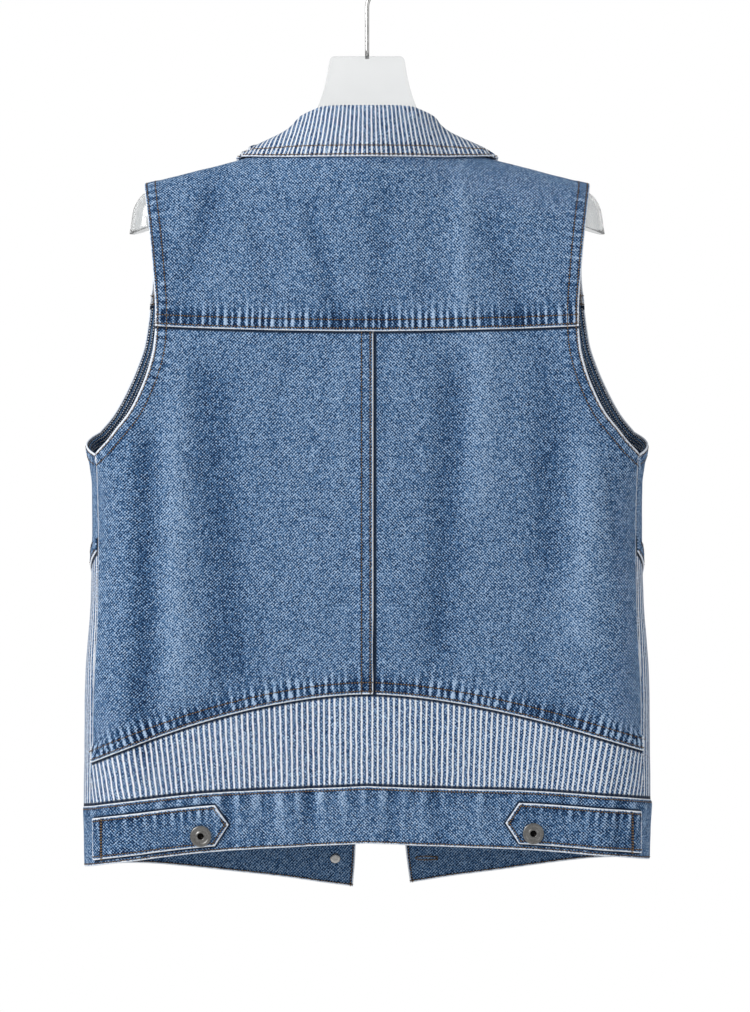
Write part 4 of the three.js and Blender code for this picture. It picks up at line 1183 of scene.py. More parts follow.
def made_material(name):
    own = settings()
    white = srgb("#f4f7fb")
    worn = tuple(own.worn_colour)
    # The colour of the painted shadow beside lapped edges and round the tabs.
    dark = tuple(own.painted_shadow_colour)
    collar = (own.collar_stripe_pitch * 1000, own.collar_stripe_share, white)
    insert = (own.insert_stripe_pitch * 1000, own.insert_stripe_share, white)
    made = {
        "washed_denim": lambda: denim(name, BLUE_RAMP, worn, dark, tone=0.03),
        "tab_denim": lambda: denim(name, BLUE_RAMP, worn, dark, tone=-0.05),
        "collar_striped_denim": lambda: denim(name, STRIPE_RAMP, worn, dark, collar, 0.4),
        "insert_striped_denim": lambda: denim(name, STRIPE_RAMP, worn, dark, insert, 0.4, 0.05),
        "denim_inside": lambda: denim(name, INSIDE_RAMP, worn, dark, None, 0.2),
        "thread": lambda: thread_material("topstitching_thread", tuple(own.thread_colour)),
        "overlock": lambda: thread_material("overlock_thread", srgb("#ffffff")),
        "button": lambda: button_material("antique_nickel", "#302f2e", "#a5a4a2"),
        "tack": lambda: button_material("bright_nickel", "#9c9b99", "#dddcda"),
        # Near-black metal: painted shade inside the buttons' holes.
        "painted_hole_shade": lambda: button_material("hole_shade_black", "#070707", "#1c1b1a"),
        "hook": hook_material,
        "hanger": hanger_material,
        "floor": floor_material,
    }
    return made[name]()


MADE = {}


def material_for(name):
    """A material by its short name, made when it is first asked for."""
    if name not in MADE:
        MADE[name] = made_material(name)
    return MADE[name]


SIDES = ((-1, "left"), (1, "right"))


def seeded_sides(seed):
    """Both sides with the first seed of each one's puckers."""
    return [(side, name, seed + 10 * i) for i, (side, name) in enumerate(SIDES)]


# Stations of the pieces.
def across_stations(base, b, low, high, near_low, near_high, step):
    return stations(lambda s: base(s, np.full(s.shape, b)), low, high, near_low, near_high, step)


def down_stations(base, a, near_low, near_high, step):
    return stations(lambda s: base(np.full(s.shape, a), s), 0.0, 1.0, near_low, near_high, step)


def build_back_yoke():
    base = back_yoke_base
    across = across_stations(base, 0.85, -1, 1, NEAR_EDGE, NEAR_EDGE, 1.7)
    down = down_stations(base, 0.75, NEAR_EDGE, NEAR_EDGE, 2.8)
    s = np.linspace(0, 1, 160)
    seams = [
        seam_on(base, np.linspace(-1, 1, 240), 1.0, LAP, 11, (0, -0.02)),
        seam_on(base, -1.0, s, TURNED, 12, (0.02, 0)),
        seam_on(base, 1.0, s, TURNED, 13, (-0.02, 0)),
        seam_on(base, np.linspace(0.5, 1, 90), 0.0, PLAIN_EDGE, 14, (0, 0.02)),
        seam_on(base, np.linspace(-1, -0.5, 90), 0.0, PLAIN_EDGE, 15, (0, 0.02)),
    ]
    cloth(
        "denim_back_yoke", base, across, down, seams, "back_yoke", "washed_denim",
        on_front=False,
    )


def build_back_panels():
    s = np.linspace(0, 1, 200)
    for side, name, seed in seeded_sides(21):
        base = back_panel_base(side)
        near_centre = NEAR_EDGE if side < 0 else NEAR_PLAIN
        below_yoke = across_stations(base, 0.5, 0, 1, near_centre, (0,), 1.9)
        below_arm = np.linspace(1, 2, 62)[1:]
        across = np.concatenate([below_yoke, below_arm])
        down = down_stations(base, 1.5, NEAR_EDGE, NEAR_EDGE, 3.0)
        seams = [
            seam_on(base, np.linspace(0, 2, 260), 1.0, LAP, seed, (0, -0.02)),
            seam_on(base, 1.01 + 0.99 * s, 0.0, TURNED, seed + 1, (0, 0.02), 0.62),
            seam_on(base, 2.0, s, SIDE_EDGE, seed + 3, (-0.02, 0)),
        ]
        covers = [(base(s, 0 * s), LAP_OVER - SEAM / 2)]
        if side < 0:
            seams.append(seam_on(base, 0.0, s, LAP_PRESSED, seed + 2, (0.02, 0)))
        else:
            covers.append((base(0 * s, s), 0.8))
        cloth(
            f"denim_back_panel_{name}", base, across, down, seams, f"back_panel_{name}",
            "washed_denim", covers=covers, on_front=False,
            stripe=(lambda u, v: -u) if side < 0 else None,
        )


def build_hem_insert():
    base = hem_insert_base
    across = across_stations(base, 0.5, -1, 1, NEAR_PLAIN, NEAR_PLAIN, 2.2)
    down = down_stations(base, 0.6, NEAR_PLAIN, NEAR_PLAIN, 2.6)
    s = np.linspace(-1, 1, 240)
    covers = [(base(s, 0 * s), LAP_OVER - SEAM / 2), (base(s, 0 * s + 1), BAND_OVER - SEAM / 2)]

    def leaning(u, v):
        return u * (1 + 0.00085 * np.abs(u) / 235 * (v - 710))

    cloth(
        "striped_back_hem_insert", base, across, down, [], "back_hem_insert",
        "insert_striped_denim", covers=covers, stripe=leaning,
    )


def build_waistband():
    base = waistband_base
    across = across_stations(base, 0.5, -1, 1, NEAR_PLAIN, NEAR_PLAIN, 2.0)
    down = down_stations(base, 0.3, NEAR_PLAIN, NEAR_PLAIN, 2.0)
    s = np.linspace(-1, 1, 420)
    u = np.linspace(0, 1, 90)
    # The tabs' outlines, round which the band gets a painted shadow.
    shadow_outlines = []
    for side, _ in SIDES:
        tab = tab_base(side)
        shadow_outlines += [tab(u, 0 * u), tab(u, 0 * u + 1), tab(0 * u, u)]
    t = np.linspace(0, 1, 40)
    seams = [
        seam_on(base, s, 0.0, BAND_EDGE, 41, (0, 0.1)),
        seam_on(base, s, 1.0, HEM_EDGE, 42, (0, -0.1)),
        seam_on(base, -1.0, t, PLAIN_EDGE, 43, (0.01, 0)),
        seam_on(base, 1.0, t, PLAIN_EDGE, 44, (-0.01, 0)),
    ]
    cloth(
        "denim_waistband", base, across, down, seams, "waistband", "washed_denim",
        off=BAND_OUTER, thick=DOUBLED, inner_off=BAND_OUTER - DOUBLED,
        shadow_outlines=shadow_outlines,
    )


def build_tabs():
    t = np.linspace(0, 1, 41)
    s = np.linspace(0, 1, 90)
    for side, name, seed in seeded_sides(51):
        base = tab_base(side)
        across = across_stations(base, 0.5, 0, 1, NEAR_TAB, NEAR_TAB_FOLD, 1.6)
        down = down_stations(base, 0.5, NEAR_TAB, NEAR_TAB, 1.6)
        down = np.unique(np.append(down, 0.5))
        seams = [
            seam_on(base, s, 0.0, TAB_UPPER, seed, (0, 0.1)),
            seam_on(base, s, 1.0, TAB_EDGE, seed + 1, (0, -0.1)),
            seam_on(base, 0.0, t[:21], TAB_EDGE, seed + 2, (0.05, 0)),
            seam_on(base, 0.0, t[20:], TAB_EDGE, seed + 3, (0.05, 0)),
            seam_on(base, 1.0, t, TAB_FOLD, seed + 4, (-0.05, 0)),
        ]
        cloth(
            f"denim_tab_{name}", base, across, down, seams, f"tab_{name}", "tab_denim",
            off=BAND_OUTER + SEAM + TAB_THICK, thick=TAB_THICK,
        )


def build_front_yokes():
    s = np.linspace(0, 1, 120)
    for side, name, seed in seeded_sides(71):
        base = front_yoke_base(side)
        across = across_stations(base, 0.8, 0, 1, NEAR_PLAIN, NEAR_EDGE, 2.4)
        down = down_stations(base, 0.7, NEAR_PLAIN, NEAR_EDGE, 3.4)
        seams = [
            seam_on(base, s, 1.0, LAP_FRONT, seed, (0, -0.02)),
            seam_on(base, 1.0, s, TURNED, seed + 1, (-0.02, 0)),
        ]
        cloth(
            f"striped_front_yoke_{name}", base, across, down, seams, f"front_yoke_{name}",
            "insert_striped_denim",
            inside="insert_striped_denim", inner_off=0.0, on_front=True,
        )


def build_front_chests():
    s = np.linspace(0, 1, 160)
    under_share = front_outer_line()[-1]
    for side, name, seed in seeded_sides(91):
        base = front_chest_base(side)
        across = across_stations(base, 0.3, 0, 1, NEAR_EDGE, NEAR_PLAIN, 3.2)
        down = down_stations(base, 0.5, NEAR_PLAIN, NEAR_EDGE, 3.4)
        armhole = np.linspace(0, under_share, 120)
        seams = [
            seam_on(base, s, 1.0, LAP_FRONT, seed, (0, -0.02)),
            seam_on(base, 0.0, armhole, TURNED, seed + 1, (0.02, 0)),
        ]
        covers = [(base(s, 0 * s), LAP_OVER - SEAM / 2)]
        cloth(
            f"denim_front_chest_{name}", base, across, down, seams, f"front_chest_{name}",
            "washed_denim", covers=covers,
            inner_off=0.0, inner_thread="overlock",
        )


def build_front_lowers():
    s = np.linspace(0, 1, 160)
    for side, name in SIDES:
        base = front_lower_base(side)
        across = across_stations(base, 0.5, 0, 1, NEAR_PLAIN, NEAR_PLAIN, 3.2)
        down = down_stations(base, 0.5, NEAR_PLAIN, NEAR_PLAIN, 3.4)
        covers = [(base(s, 0 * s), LAP_OVER), (base(s, 0 * s + 1), BAND_OVER)]
        cloth(
            f"striped_front_lower_{name}", base, across, down, [], f"front_lower_{name}",
            "insert_striped_denim", covers=covers,
            inside="insert_striped_denim",
        )


def build_plackets():
    s = np.linspace(0, 1, 300)
    for side, name, seed in seeded_sides(111):
        base = placket_base(side)
        across = across_stations(base, 0.5, 0, 1, NEAR_PLAIN, NEAR_PLAIN, 2.4)
        down = down_stations(base, 0.5, NEAR_PLAIN, NEAR_PLAIN, 2.6)
        seams = [
            seam_on(base, 0.0, s, PLAIN_EDGE, seed, (0.05, 0)),
            seam_on(base, 1.0, s, PLAIN_EDGE, seed + 1, (-0.05, 0)),
        ]
        cloth(
            f"denim_placket_{name}", base, across, down, seams, f"placket_{name}",
            "washed_denim", off=BAND_OUTER, thick=DOUBLED,
            inner_off=BAND_OUTER - DOUBLED,
        )


# The facing inside each armhole, a strip along its edge.
FACING_WIDTH = 12
FACING = 1.0
FACING_UNDER = 1.25


def facing_line(side):
    crown_half = np.linspace(SHOULDER_TIP, SHOULDER_TIP - 2.5, 16)
    over = crown_point(crown_half, np.linspace(-SHOULDER_TURN, 0.75, 16), side)
    back_drop = np.linspace(232, 425.5, 90)
    back = body_point(girth_at(armhole_back(back_drop), back_drop, False), back_drop, side)
    girth, drop, way, share = front_outer_line()
    use = (way < share) & (drop > FRONT_YOKE_DROP + 6)
    under = body_point(girth[use], drop[use], side)[::-1]
    front_drop = np.linspace(FRONT_YOKE_DROP, 234, 30)
    front = body_point(girth_at(armhole_front(front_drop), front_drop, True), front_drop, side)
    last = np.linspace(0, 1, 16)
    end = crown_point(196.5 + 1.6 * last, -mix(0.72, SHOULDER_TURN + SEAM / 19, last), side)
    line = np.concatenate([over, back, under, front, end])
    way = way_along(line)
    even = np.linspace(0, way[-1], 380)
    return settle(point_at(even, way, line))


def build_facings():
    for side, name, seed in seeded_sides(131):
        line = facing_line(side)
        tangent = unit(np.gradient(line, axis=0))
        inwards = unit(np.cross(body_normal(line), tangent)) * -side

        def base(a, b):
            i = a * (len(line) - 1)
            low = np.clip(np.floor(i).astype(int), 0, len(line) - 2)
            share = (i - low)[..., None]
            start = mix(line[low], line[low + 1], share)
            way_in = unit(mix(inwards[low], inwards[low + 1], share))
            return settle(start + way_in * (mix(0.3, 1.0, b) * FACING_WIDTH)[..., None])

        across = np.linspace(0, 1, 301)
        down = np.array([0, 0.07, 0.15, 0.25, 0.4, 0.55, 0.7, 0.82, 0.9, 0.96, 1])
        seam = seam_on(base, np.linspace(0, 1, 300), 1.0, PLAIN_EDGE, seed, (0, -0.1))
        cloth(
            f"armhole_facing_{name}_cloth", base, across, down, [seam], f"armhole_facing_{name}",
            "denim_inside", off=-FACING_UNDER, thick=FACING, stitched=False,
            strip=True,
        )
        rows = []
        for share in (0.22, 0.58, 0.9):
            way = base(across, np.full(across.shape, share))
            inner_face = np.full(across.shape, -FACING_UNDER - FACING - 0.2)
            rows.append((cloth_point(way, inner_face), -body_normal(way)))
        thread_rows(f"armhole_facing_{name}_overlock", rows, 0.85, 2.3, "overlock")


# The collar: a stand that rises from the neckline, folds over and falls outside to its lower edge.
COLLAR_FOLD_RADIUS = 2.3
COLLAR_END = 173
COLLAR = {
    "turn": (0, 12, 30, 45, 60, 75, 90, 120, 150, 173),
    "stand": (36.6, 36.5, 34.6, 29, 23.5, 17.5, 13.5, 11, 9, 7),
    "edgeHalf": (0, 16.8, 42, 63, 84, 103, 116, 109, 86, 62),
    "edgeDrop": (173.4, 173.4, 173.4, 173.4, 173.4, 173, 172.9, 206, 254, 292),
}


def collar_middle(signed, s):
    """The middle of the collar's cloth: s is 0 to 1 up the stand, 1 to 2 over the fold and 2 to 3 down."""
    side = np.where(signed < 0, -1.0, 1.0)
    turn = np.abs(signed)
    on_front = turn > 90
    angle = np.radians(turn)
    neck_half = NECK_HALF * np.sin(angle)
    in_fold = np.cos(angle) ** 2
    neck_drop = NECK_TOP_DROP + in_fold * np.where(on_front, NECK_FRONT_DIP, NECK_BACK_DIP)
    neck_base = body_point(girth_at(neck_half, neck_drop, on_front), neck_drop, side)
    seat = cloth_point(neck_base, np.full(turn.shape, DENIM / 2), settled=False)
    lean = np.where(on_front, mix(14, 2, in_fold), 14 * (1 - in_fold))
    rise = np.stack([-side * lean * np.sin(angle), np.where(on_front, 0, 5 * in_fold)], axis=-1)
    stand = reading(COLLAR, "stand", turn, "turn")
    fold = seat + np.concatenate([rise, stand[..., None]], axis=-1)
    edge_half = reading(COLLAR, "edgeHalf", turn, "turn")
    edge_drop = np.maximum(reading(COLLAR, "edgeDrop", turn, "turn"), ridge_drop(edge_half) + 0.02)
    edge_base = body_point(girth_at(edge_half, edge_drop, on_front), edge_drop, side)
    on_placket = np.clip((turn - 100) / 40, 0, 1)
    lift = mix(DENIM, BAND_OUTER + 0.4, on_placket) + SEAM + DOUBLED / 2 + 0.3
    edge = cloth_point(edge_base, lift, settled=False)
    up = unit(fold - seat)
    below = neck_drop + 6
    out = body_normal(body_point(girth_at(neck_half, below, on_front), below, side))
    out = unit(out - up * (out * up).sum(-1, keepdims=True))
    r = COLLAR_FOLD_RADIUS
    share = np.clip(s, 0, 1)[..., None]
    low = seat + up * (SEAM + 1.1)
    rising = mix(low, fold, share)
    around = (np.clip(s - 1, 0, 1) * math.pi)[..., None]
    over = fold + up * r * np.sin(around) + out * (r - r * np.cos(around))
    start = fold + out * 2 * r
    reach = np.linalg.norm(start - edge, axis=-1, keepdims=True)
    first = start - up * 0.3 * reach + out * 0.05 * reach
    second = mix(edge, start, 0.35) + body_normal(edge_base) * 0.08 * reach
    t = np.clip(s - 2, 0, 1)[..., None]
    falling = (1 - t) ** 3 * start + 3 * t * (1 - t) ** 2 * first + 3 * t * t * (1 - t) * second + t**3 * edge
    s = s[..., None]
    return np.where(s <= 1, rising, np.where(s <= 2, over, falling))


def grid_normals(points):
    along = np.gradient(points, axis=1)
    down = np.gradient(points, axis=0)
    return unit(np.cross(along, down))


def build_collar():
    own = settings()
    turns = stations(
        lambda t: collar_middle(t, np.full(t.shape, 3.0)), -COLLAR_END, COLLAR_END, NEAR_EDGE, NEAR_EDGE, 1.7
    )
    fall = stations(
        lambda t: collar_middle(np.full(t.shape, 20.0), t), 2.0, 3.0, (0, 1.5), NEAR_EDGE, 2.2
    )
    levels = np.concatenate([np.linspace(0, 1, 12)[:-1], np.linspace(1, 2, 9)[:-1], fall])
    s, turn = np.meshgrid(levels, turns, indexing="ij")
    middle = collar_middle(turn, s)
    normals = grid_normals(middle)
    falling = s >= 2
    back = np.abs(turn) < 20
    if normals[falling & back][:, 1].mean() > 0:
        normals = -normals
    down_way = np.cumsum(np.linalg.norm(np.diff(middle, axis=0), axis=-1), axis=0)
    down_way = np.concatenate([np.zeros((1, len(turns))), down_way], axis=0)
    to_edge = down_way[-1:] - down_way
    edge_way = way_along(middle[-1])[None, :] + 0 * turn
    to_end = np.minimum(edge_way, edge_way[:, -1:] - edge_way)
    away = np.where(falling, np.minimum(to_edge, np.maximum(to_end, 0)), FAR)
    # worn holds the rubbed puckers and the painted shade along the rows of thread.
    height, worn = seam_effect(COLLAR_EDGE, away, edge_way, 151)
    wave = 0.35 * np.sin(edge_way / 23 + 1) * np.sin(down_way / 19) * falling
    outer = middle + normals * (DOUBLED / 2 + height + wave)[..., None]
    x = middle[..., 0]
    drop_to_edge = middle[..., 2] - middle[-1:, :, 2]
    fanned = x * (1 + own.collar_fan / 1000 * np.clip(drop_to_edge, 0, 60)) - middle[-1:, :, 0]
    on_back = 1 - smooth_step(82, 98, np.abs(turn))
    centre_way = np.interp(0, middle[-1, :, 0][np.abs(turns) < 90], edge_way[0][np.abs(turns) < 90])
    u = edge_way - centre_way + fanned * on_back
    uv = np.stack([u, to_edge], axis=-1) / 1000
    flat = np.zeros(turn.shape)
    attributes = {"wear_and_shade": worn, "fold": flat, "edge": away, "under": flat + FAR}
    mesh = grid_mesh("striped_collar", in_metres(outer), uv, attributes, normals)
    found = new_object("striped_collar", mesh, [material_for("collar_striped_denim")])
    solidify(found, DOUBLED)
    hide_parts("collar")
    rows = []
    start = np.argmax(levels >= 2)
    for distance in COLLAR_EDGE.rows:
        line, facing = [], []
        for j in range(len(turns)):
            if to_end[0, j] < distance:
                continue
            way = to_edge[start:, j][::-1]
            line.append(point_at(distance, way, outer[start:, j][::-1]))
            facing.append(point_at(distance, way, normals[start:, j][::-1]))
        rows.append((np.array(line), np.array(facing)))
        for end in (0, -1):
            column = int(np.argmin(np.abs(to_end[0] - distance) + 1e3 * ((turns > 0) != (end < 0))))
            part = slice(start, None)
            keep = to_edge[part, column] > distance
            rows.append((outer[part, column][keep], normals[part, column][keep]))
    made = thread_rows(
        "striped_collar_stitching", rows, own.thread_thickness * 1000, own.stitch_length * 1000
    )


# Metal.
def lathe(name, profile, centre, axis, steps, node, hole=0.0, metal="button"):
    """A turned piece: its profile, in ways out and up in millimetres, is spun about its axis.
    Within the radius of its hole, above its underside, it is painted black as the shade in the hole."""
    bm = bmesh.new()
    verts = [bm.verts.new((r, 0, h)) for r, h in profile]
    edges = [bm.edges.new(pair) for pair in zip(verts, verts[1:])]
    bmesh.ops.spin(
        bm, geom=verts + edges, cent=(0, 0, 0), axis=(0, 0, 1), angle=2 * math.pi, steps=steps, use_merge=True
    )
    bmesh.ops.remove_doubles(bm, verts=bm.verts[:], dist=1e-4)
    bmesh.ops.recalc_face_normals(bm, faces=bm.faces[:])
    for face in bm.faces:
        middle = face.calc_center_median()
        # The hole gets the near-black material, painted shade.
        face.material_index = int(math.hypot(middle.x, middle.y) < hole and middle.z > 0.5)
    turn = Vector((0, 0, 1)).rotation_difference(Vector(axis)).to_matrix().to_4x4()
    place = Matrix.Translation(Vector(in_metres(np.array(centre)))) @ turn @ Matrix.Scale(0.001, 4)
    bmesh.ops.transform(bm, matrix=place, verts=bm.verts[:])
    mesh = finished_mesh(bm, name, smooth=True)
    found = new_object(name, mesh, [material_for(metal), material_for("painted_hole_shade")])
    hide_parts(node)


BUTTON_PROFILE = (
    (0, 0), (2.6, 0), (2.6, 1.2), (7.6, 1.2), (8.5, 1.35), (9.15, 1.8), (9.4, 2.35), (9.2, 2.85),
    (8.6, 3.25), (7.8, 3.4), (7.0, 3.25), (6.4, 2.9), (5.7, 2.7), (5.0, 2.72), (4.4, 2.95), (3.9, 3.28),
    (3.45, 3.4), (3.0, 3.3), (2.75, 2.9), (2.6, 1.3), (0, 1.25),
)
BUTTON_HOLE = 2.75
TACK_PROFILE = (
    (0, 0), (4.5, 0), (4.7, 0.2), (4.7, 0.45), (4.3, 0.9), (3.4, 1.35), (2.4, 1.5), (1.2, 1.42), (0, 1.35),
)
TAB_BUTTON_HALF = 145.8
TAB_BUTTON_DROP = 769.6
FRONT_BUTTON_DROPS = tuple(mix(258, 800, i / 5) for i in range(6))


def set_on_cloth(base, off):
    place = cloth_point(base[None], np.array([off]), settled=False)[0]
    return place, body_normal(base[None])[0]


def build_tab_buttons():
    for side, name in SIDES:
        girth = girth_at(np.array(TAB_BUTTON_HALF), np.array(TAB_BUTTON_DROP), False)
        base = body_point(girth, TAB_BUTTON_DROP, side)
        centre, axis = set_on_cloth(base, BAND_OUTER + 2 * SEAM + TAB_THICK)
        lathe(
            f"metal_tab_button_{name}", BUTTON_PROFILE, centre, axis, 56, f"tab_button_{name}", BUTTON_HOLE
        )


def placket_middle(drop, side):
    level = np.array(float(drop))
    return body_point(front_edge(level, side, PLACKET_WIDTH / 2), level, side)


def build_front_buttons():
    for number, drop in enumerate(FRONT_BUTTON_DROPS, 1):
        base = placket_middle(drop, -1)
        centre, axis = set_on_cloth(base, BAND_OUTER + SEAM)
        node = f"front_button_{number}"
        lathe(f"metal_{node}", BUTTON_PROFILE, centre, axis, 48, node, BUTTON_HOLE)
        centre, axis = set_on_cloth(base, BAND_OUTER - DOUBLED - SEAM)
        node = f"front_tack_{number}"
        lathe(f"metal_{node}", TACK_PROFILE, centre, -axis, 32, node, metal="tack")


def build_buttonholes():
    """Keyhole buttonholes on the wearer's right placket, edged with close stitches on both faces."""
    rows = []
    slot_length, slot_half, eye = 20.0, 1.3, 2.6
    turn = np.linspace(0, 1, 90) * 2 * math.pi
    eye_share = smooth_step(0.72, 0.95, np.cos(turn))
    along = np.cos(turn) * slot_length / 2
    across = np.sin(turn) * (slot_half + (eye - slot_half) * eye_share) * 1.25
    for drop in FRONT_BUTTON_DROPS:
        base = placket_middle(drop, 1)
        for outside in (True, False):
            off = BAND_OUTER if outside else BAND_OUTER - DOUBLED
            centre, axis = set_on_cloth(base, off)
            axis = axis if outside else -axis
            level = np.array([1.0, 0, 0])
            level = unit(level - axis * (level * axis).sum())
            upright = np.cross(axis, level)
            line = centre + along[:, None] * level + across[:, None] * upright
            rows.append((line, np.tile(axis, (len(turn), 1))))
    thread_rows("buttonhole_stitching", rows, 1.5, 1.1)


# The hanger and its hook.
HANGER_WALL = 2.6
HANGER_HALF_DEPTH = 18
NECK_PLATE_DROP = 80
NECK_PLATE_THICK = 6.4
WIRE_RADIUS = 1.9
HOOK_INNER_RADIUS = 19


def hanger_top_drop(x):
    under = ridge_drop(np.maximum(x, 96)) + mix(1.2, 3.85, np.clip((x - 125) / 40, 0, 1))
    return np.where(x > 96, under, mix(165, under, (np.minimum(x, 96) / 96) ** 2.2))


def hanger_spine():
    """The line of the hanger's top, the direction from it into the arm, and how deep the arm is there."""
    bend_from, radius, tail = 187.0, 30.0, 18.0
    bend_to, end_cut = math.radians(82), math.radians(107)
    x = np.linspace(0, bend_from, 48)
    slope = (hanger_top_drop(x + 1) - hanger_top_drop(np.maximum(0, x - 1))) / 2
    fall = np.where(x > 0, np.arctan(slope), 0)
    leg = mix(30, 21, (x / bend_from) ** 3)
    z = -hanger_top_drop(x)
    turn = np.linspace(fall[-1], bend_to, 15)[1:]
    bend_x = x[-1] + radius * (np.sin(turn) - math.sin(fall[-1]))
    bend_z = z[-1] - radius * (math.cos(fall[-1]) - np.cos(turn))
    tail_x = bend_x[-1] + tail * math.cos(bend_to) * np.array([0.33, 0.66, 1])
    tail_z = bend_z[-1] - tail * math.sin(bend_to) * np.array([0.33, 0.66, 1])
    tail_fall = mix(bend_to, end_cut, np.array([0.2, 0.55, 1]))
    return (
        np.concatenate([x, bend_x, tail_x]),
        np.concatenate([z, bend_z, tail_z]),
        np.concatenate([fall, turn, tail_fall]),
        np.concatenate([leg, np.full(17, 21.0)]),
    )


def build_hanger():
    x, z, fall, leg = hanger_spine()
    x, fall = np.concatenate([-x[:0:-1], x]), np.concatenate([-fall[:0:-1], fall])
    z, leg = np.concatenate([z[:0:-1], z]), np.concatenate([leg[:0:-1], leg])
    turn = np.linspace(-math.pi / 2, math.pi / 2, 25)
    wall = HANGER_WALL / 2
    inwards = wall + (leg[:, None] - wall) * (1 - np.cos(turn))[None]
    y = (HANGER_HALF_DEPTH - wall) * np.sin(turn)[None] + 0 * inwards
    x_in, z_in = inwards * np.sin(fall)[:, None], inwards * np.cos(fall)[:, None]
    middle = np.stack([x[:, None] - x_in, y, z[:, None] - z_in], axis=-1)
    outwards = grid_normals(middle)
    top = len(turn) // 2
    if outwards[len(x) // 2, top, 2] < 0:
        outwards = -outwards
    uv = np.zeros((*x.shape, len(turn), 2))
    mesh = grid_mesh("hanger_channel", in_metres(middle + outwards * wall), uv, {}, outwards)
    found = new_object("hanger_channel", mesh, [material_for("hanger")])
    solidify(found, HANGER_WALL)
    rounded = found.modifiers.new("moulded edge", "BEVEL")
    rounded.width = 0.0007
    rounded.segments = 2
    rounded.limit_method = "ANGLE"
    rounded.angle_limit = math.radians(50)
    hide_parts("hanger_body")


def bezier(p0, p1, p2, p3, count):
    t = np.linspace(0, 1, count)[:, None]
    p0, p1, p2, p3 = (np.array(p, float) for p in (p0, p1, p2, p3))
    return (1 - t) ** 3 * p0 + 3 * t * (1 - t) ** 2 * p1 + 3 * t * t * (1 - t) * p2 + t**3 * p3


def build_neck_plate():
    top = -NECK_PLATE_DROP
    corner = bezier((29, top), (31.6, top), (33.3, top - 1.7), (33.8, top - 5), 7)
    flare = bezier((33.8, top - 5), (37, top - 26), (41, top - 50), (68, -166), 22)[1:]
    right = np.concatenate([corner, flare, [(30, -184)]])
    left = right[::-1] * np.array([-1, 1])
    outline = np.concatenate([right, left])
    bm = bmesh.new()
    back_face = np.full(len(outline), -NECK_PLATE_THICK / 2)
    place = in_metres(np.stack([outline[:, 0], back_face, outline[:, 1]], axis=-1))
    face = bm.faces.new([bm.verts.new(p) for p in place])
    made = bmesh.ops.extrude_face_region(bm, geom=[face])
    moved = [g for g in made["geom"] if isinstance(g, bmesh.types.BMVert)]
    bmesh.ops.translate(bm, verts=moved, vec=(0, NECK_PLATE_THICK / 1000, 0))
    rim = [e for e in bm.edges if abs(e.verts[0].co.y - e.verts[1].co.y) < 1e-6]
    bmesh.ops.bevel(bm, geom=rim, offset=0.0011, segments=3, profile=0.5, affect="EDGES", material=-1)
    bmesh.ops.recalc_face_normals(bm, faces=bm.faces[:])
    mesh = finished_mesh(bm, "hanger_neck_plate")
    found = new_object("hanger_neck_plate", mesh, [material_for("hanger")])
    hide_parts("hanger_body")


def build_hook():
    radius = HOOK_INNER_RADIUS + WIRE_RADIUS
    top = -NECK_PLATE_DROP
    turn = np.radians(np.linspace(-42, 208, 51))
    centre = np.array([0, 0, LEVEL - HOOK_INNER_RADIUS])
    ring = np.stack([radius * np.cos(turn), 0 * turn, radius * np.sin(turn)], axis=-1) + centre
    start = np.array([0.0, 0, top - 10])
    swing = bezier((0, top + 44), (0.2, top + 54), (8, LEVEL - 40), (ring[0][0], ring[0][2]), 14)
    swing = np.stack([swing[:, 0], 0 * swing[:, 0], swing[:, 1]], axis=-1)
    straight = np.linspace(start, swing[0], 8)[:-1]
    line = np.concatenate([straight, swing[:-1], ring])
    tangent = unit(np.gradient(line, axis=0))
    across = np.array([0, 1.0, 0])
    other = unit(np.cross(tangent, across))
    sides = 20
    angle = np.linspace(0, 2 * math.pi, sides + 1)
    # The wire's end is rounded, and its other end is inside the plate.
    size = np.ones(len(line))
    ends = np.array([0.0, 0.6, 0.9])
    line = np.concatenate([line, line[-1] + tangent[-1] * WIRE_RADIUS * np.array([[0.45], [0.8], [1.0]])])
    other = np.concatenate([other, np.repeat(other[-1:], 3, axis=0)])
    size = np.concatenate([size, ends[::-1]])
    size[0] = 0
    line[0] = line[1] - np.array([0, 0, 0.01])
    ring_points = (
        across * np.cos(angle)[None, :, None] + other[:, None] * np.sin(angle)[None, :, None]
    ) * (WIRE_RADIUS * size)[:, None, None]
    points = in_metres(line[:, None] + ring_points)
    mesh = grid_mesh("wire_hook", points, np.zeros((*points.shape[:2], 2)), {}, unit(ring_points + 1e-9))
    bm = bmesh.new()
    bm.from_mesh(mesh)
    bmesh.ops.remove_doubles(bm, verts=bm.verts[:], dist=1e-6)
    bmesh.ops.recalc_face_normals(bm, faces=bm.faces[:])
    bm.to_mesh(mesh)
    bm.free()
    found = new_object("wire_hook", mesh, [material_for("hook")])
    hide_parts("hanger_hook")


# The studio, in metres.
FLOOR_RADIUS = 1.55
FLOOR_LEVEL = -1.25
CAMERA_PLACE = (0.00704, -3.042, -0.5001)
CAMERA_LENS = 121.27
CAMERA_SENSOR = 36
LIT_MIDDLE = (0, 0, -0.5)
Softbox = namedtuple("Softbox", "name place size share")
# The share is that of the key light's power.
SOFTBOXES = (
    Softbox("key softbox", (-1.9, -1.6, 0.7), 1.0, 1.0),
    Softbox("side softbox", (1.9, -1.6, -0.1), 1.4, 0.12),
)


def add_floor():
    bm = bmesh.new()
    bmesh.ops.create_circle(bm, cap_ends=True, segments=96, radius=FLOOR_RADIUS)
    bmesh.ops.translate(bm, verts=bm.verts[:], vec=(0, 0, FLOOR_LEVEL))
    mesh = finished_mesh(bm, "studio_floor")
    mesh.materials.append(material_for("floor"))
    linked("studio_floor", mesh)


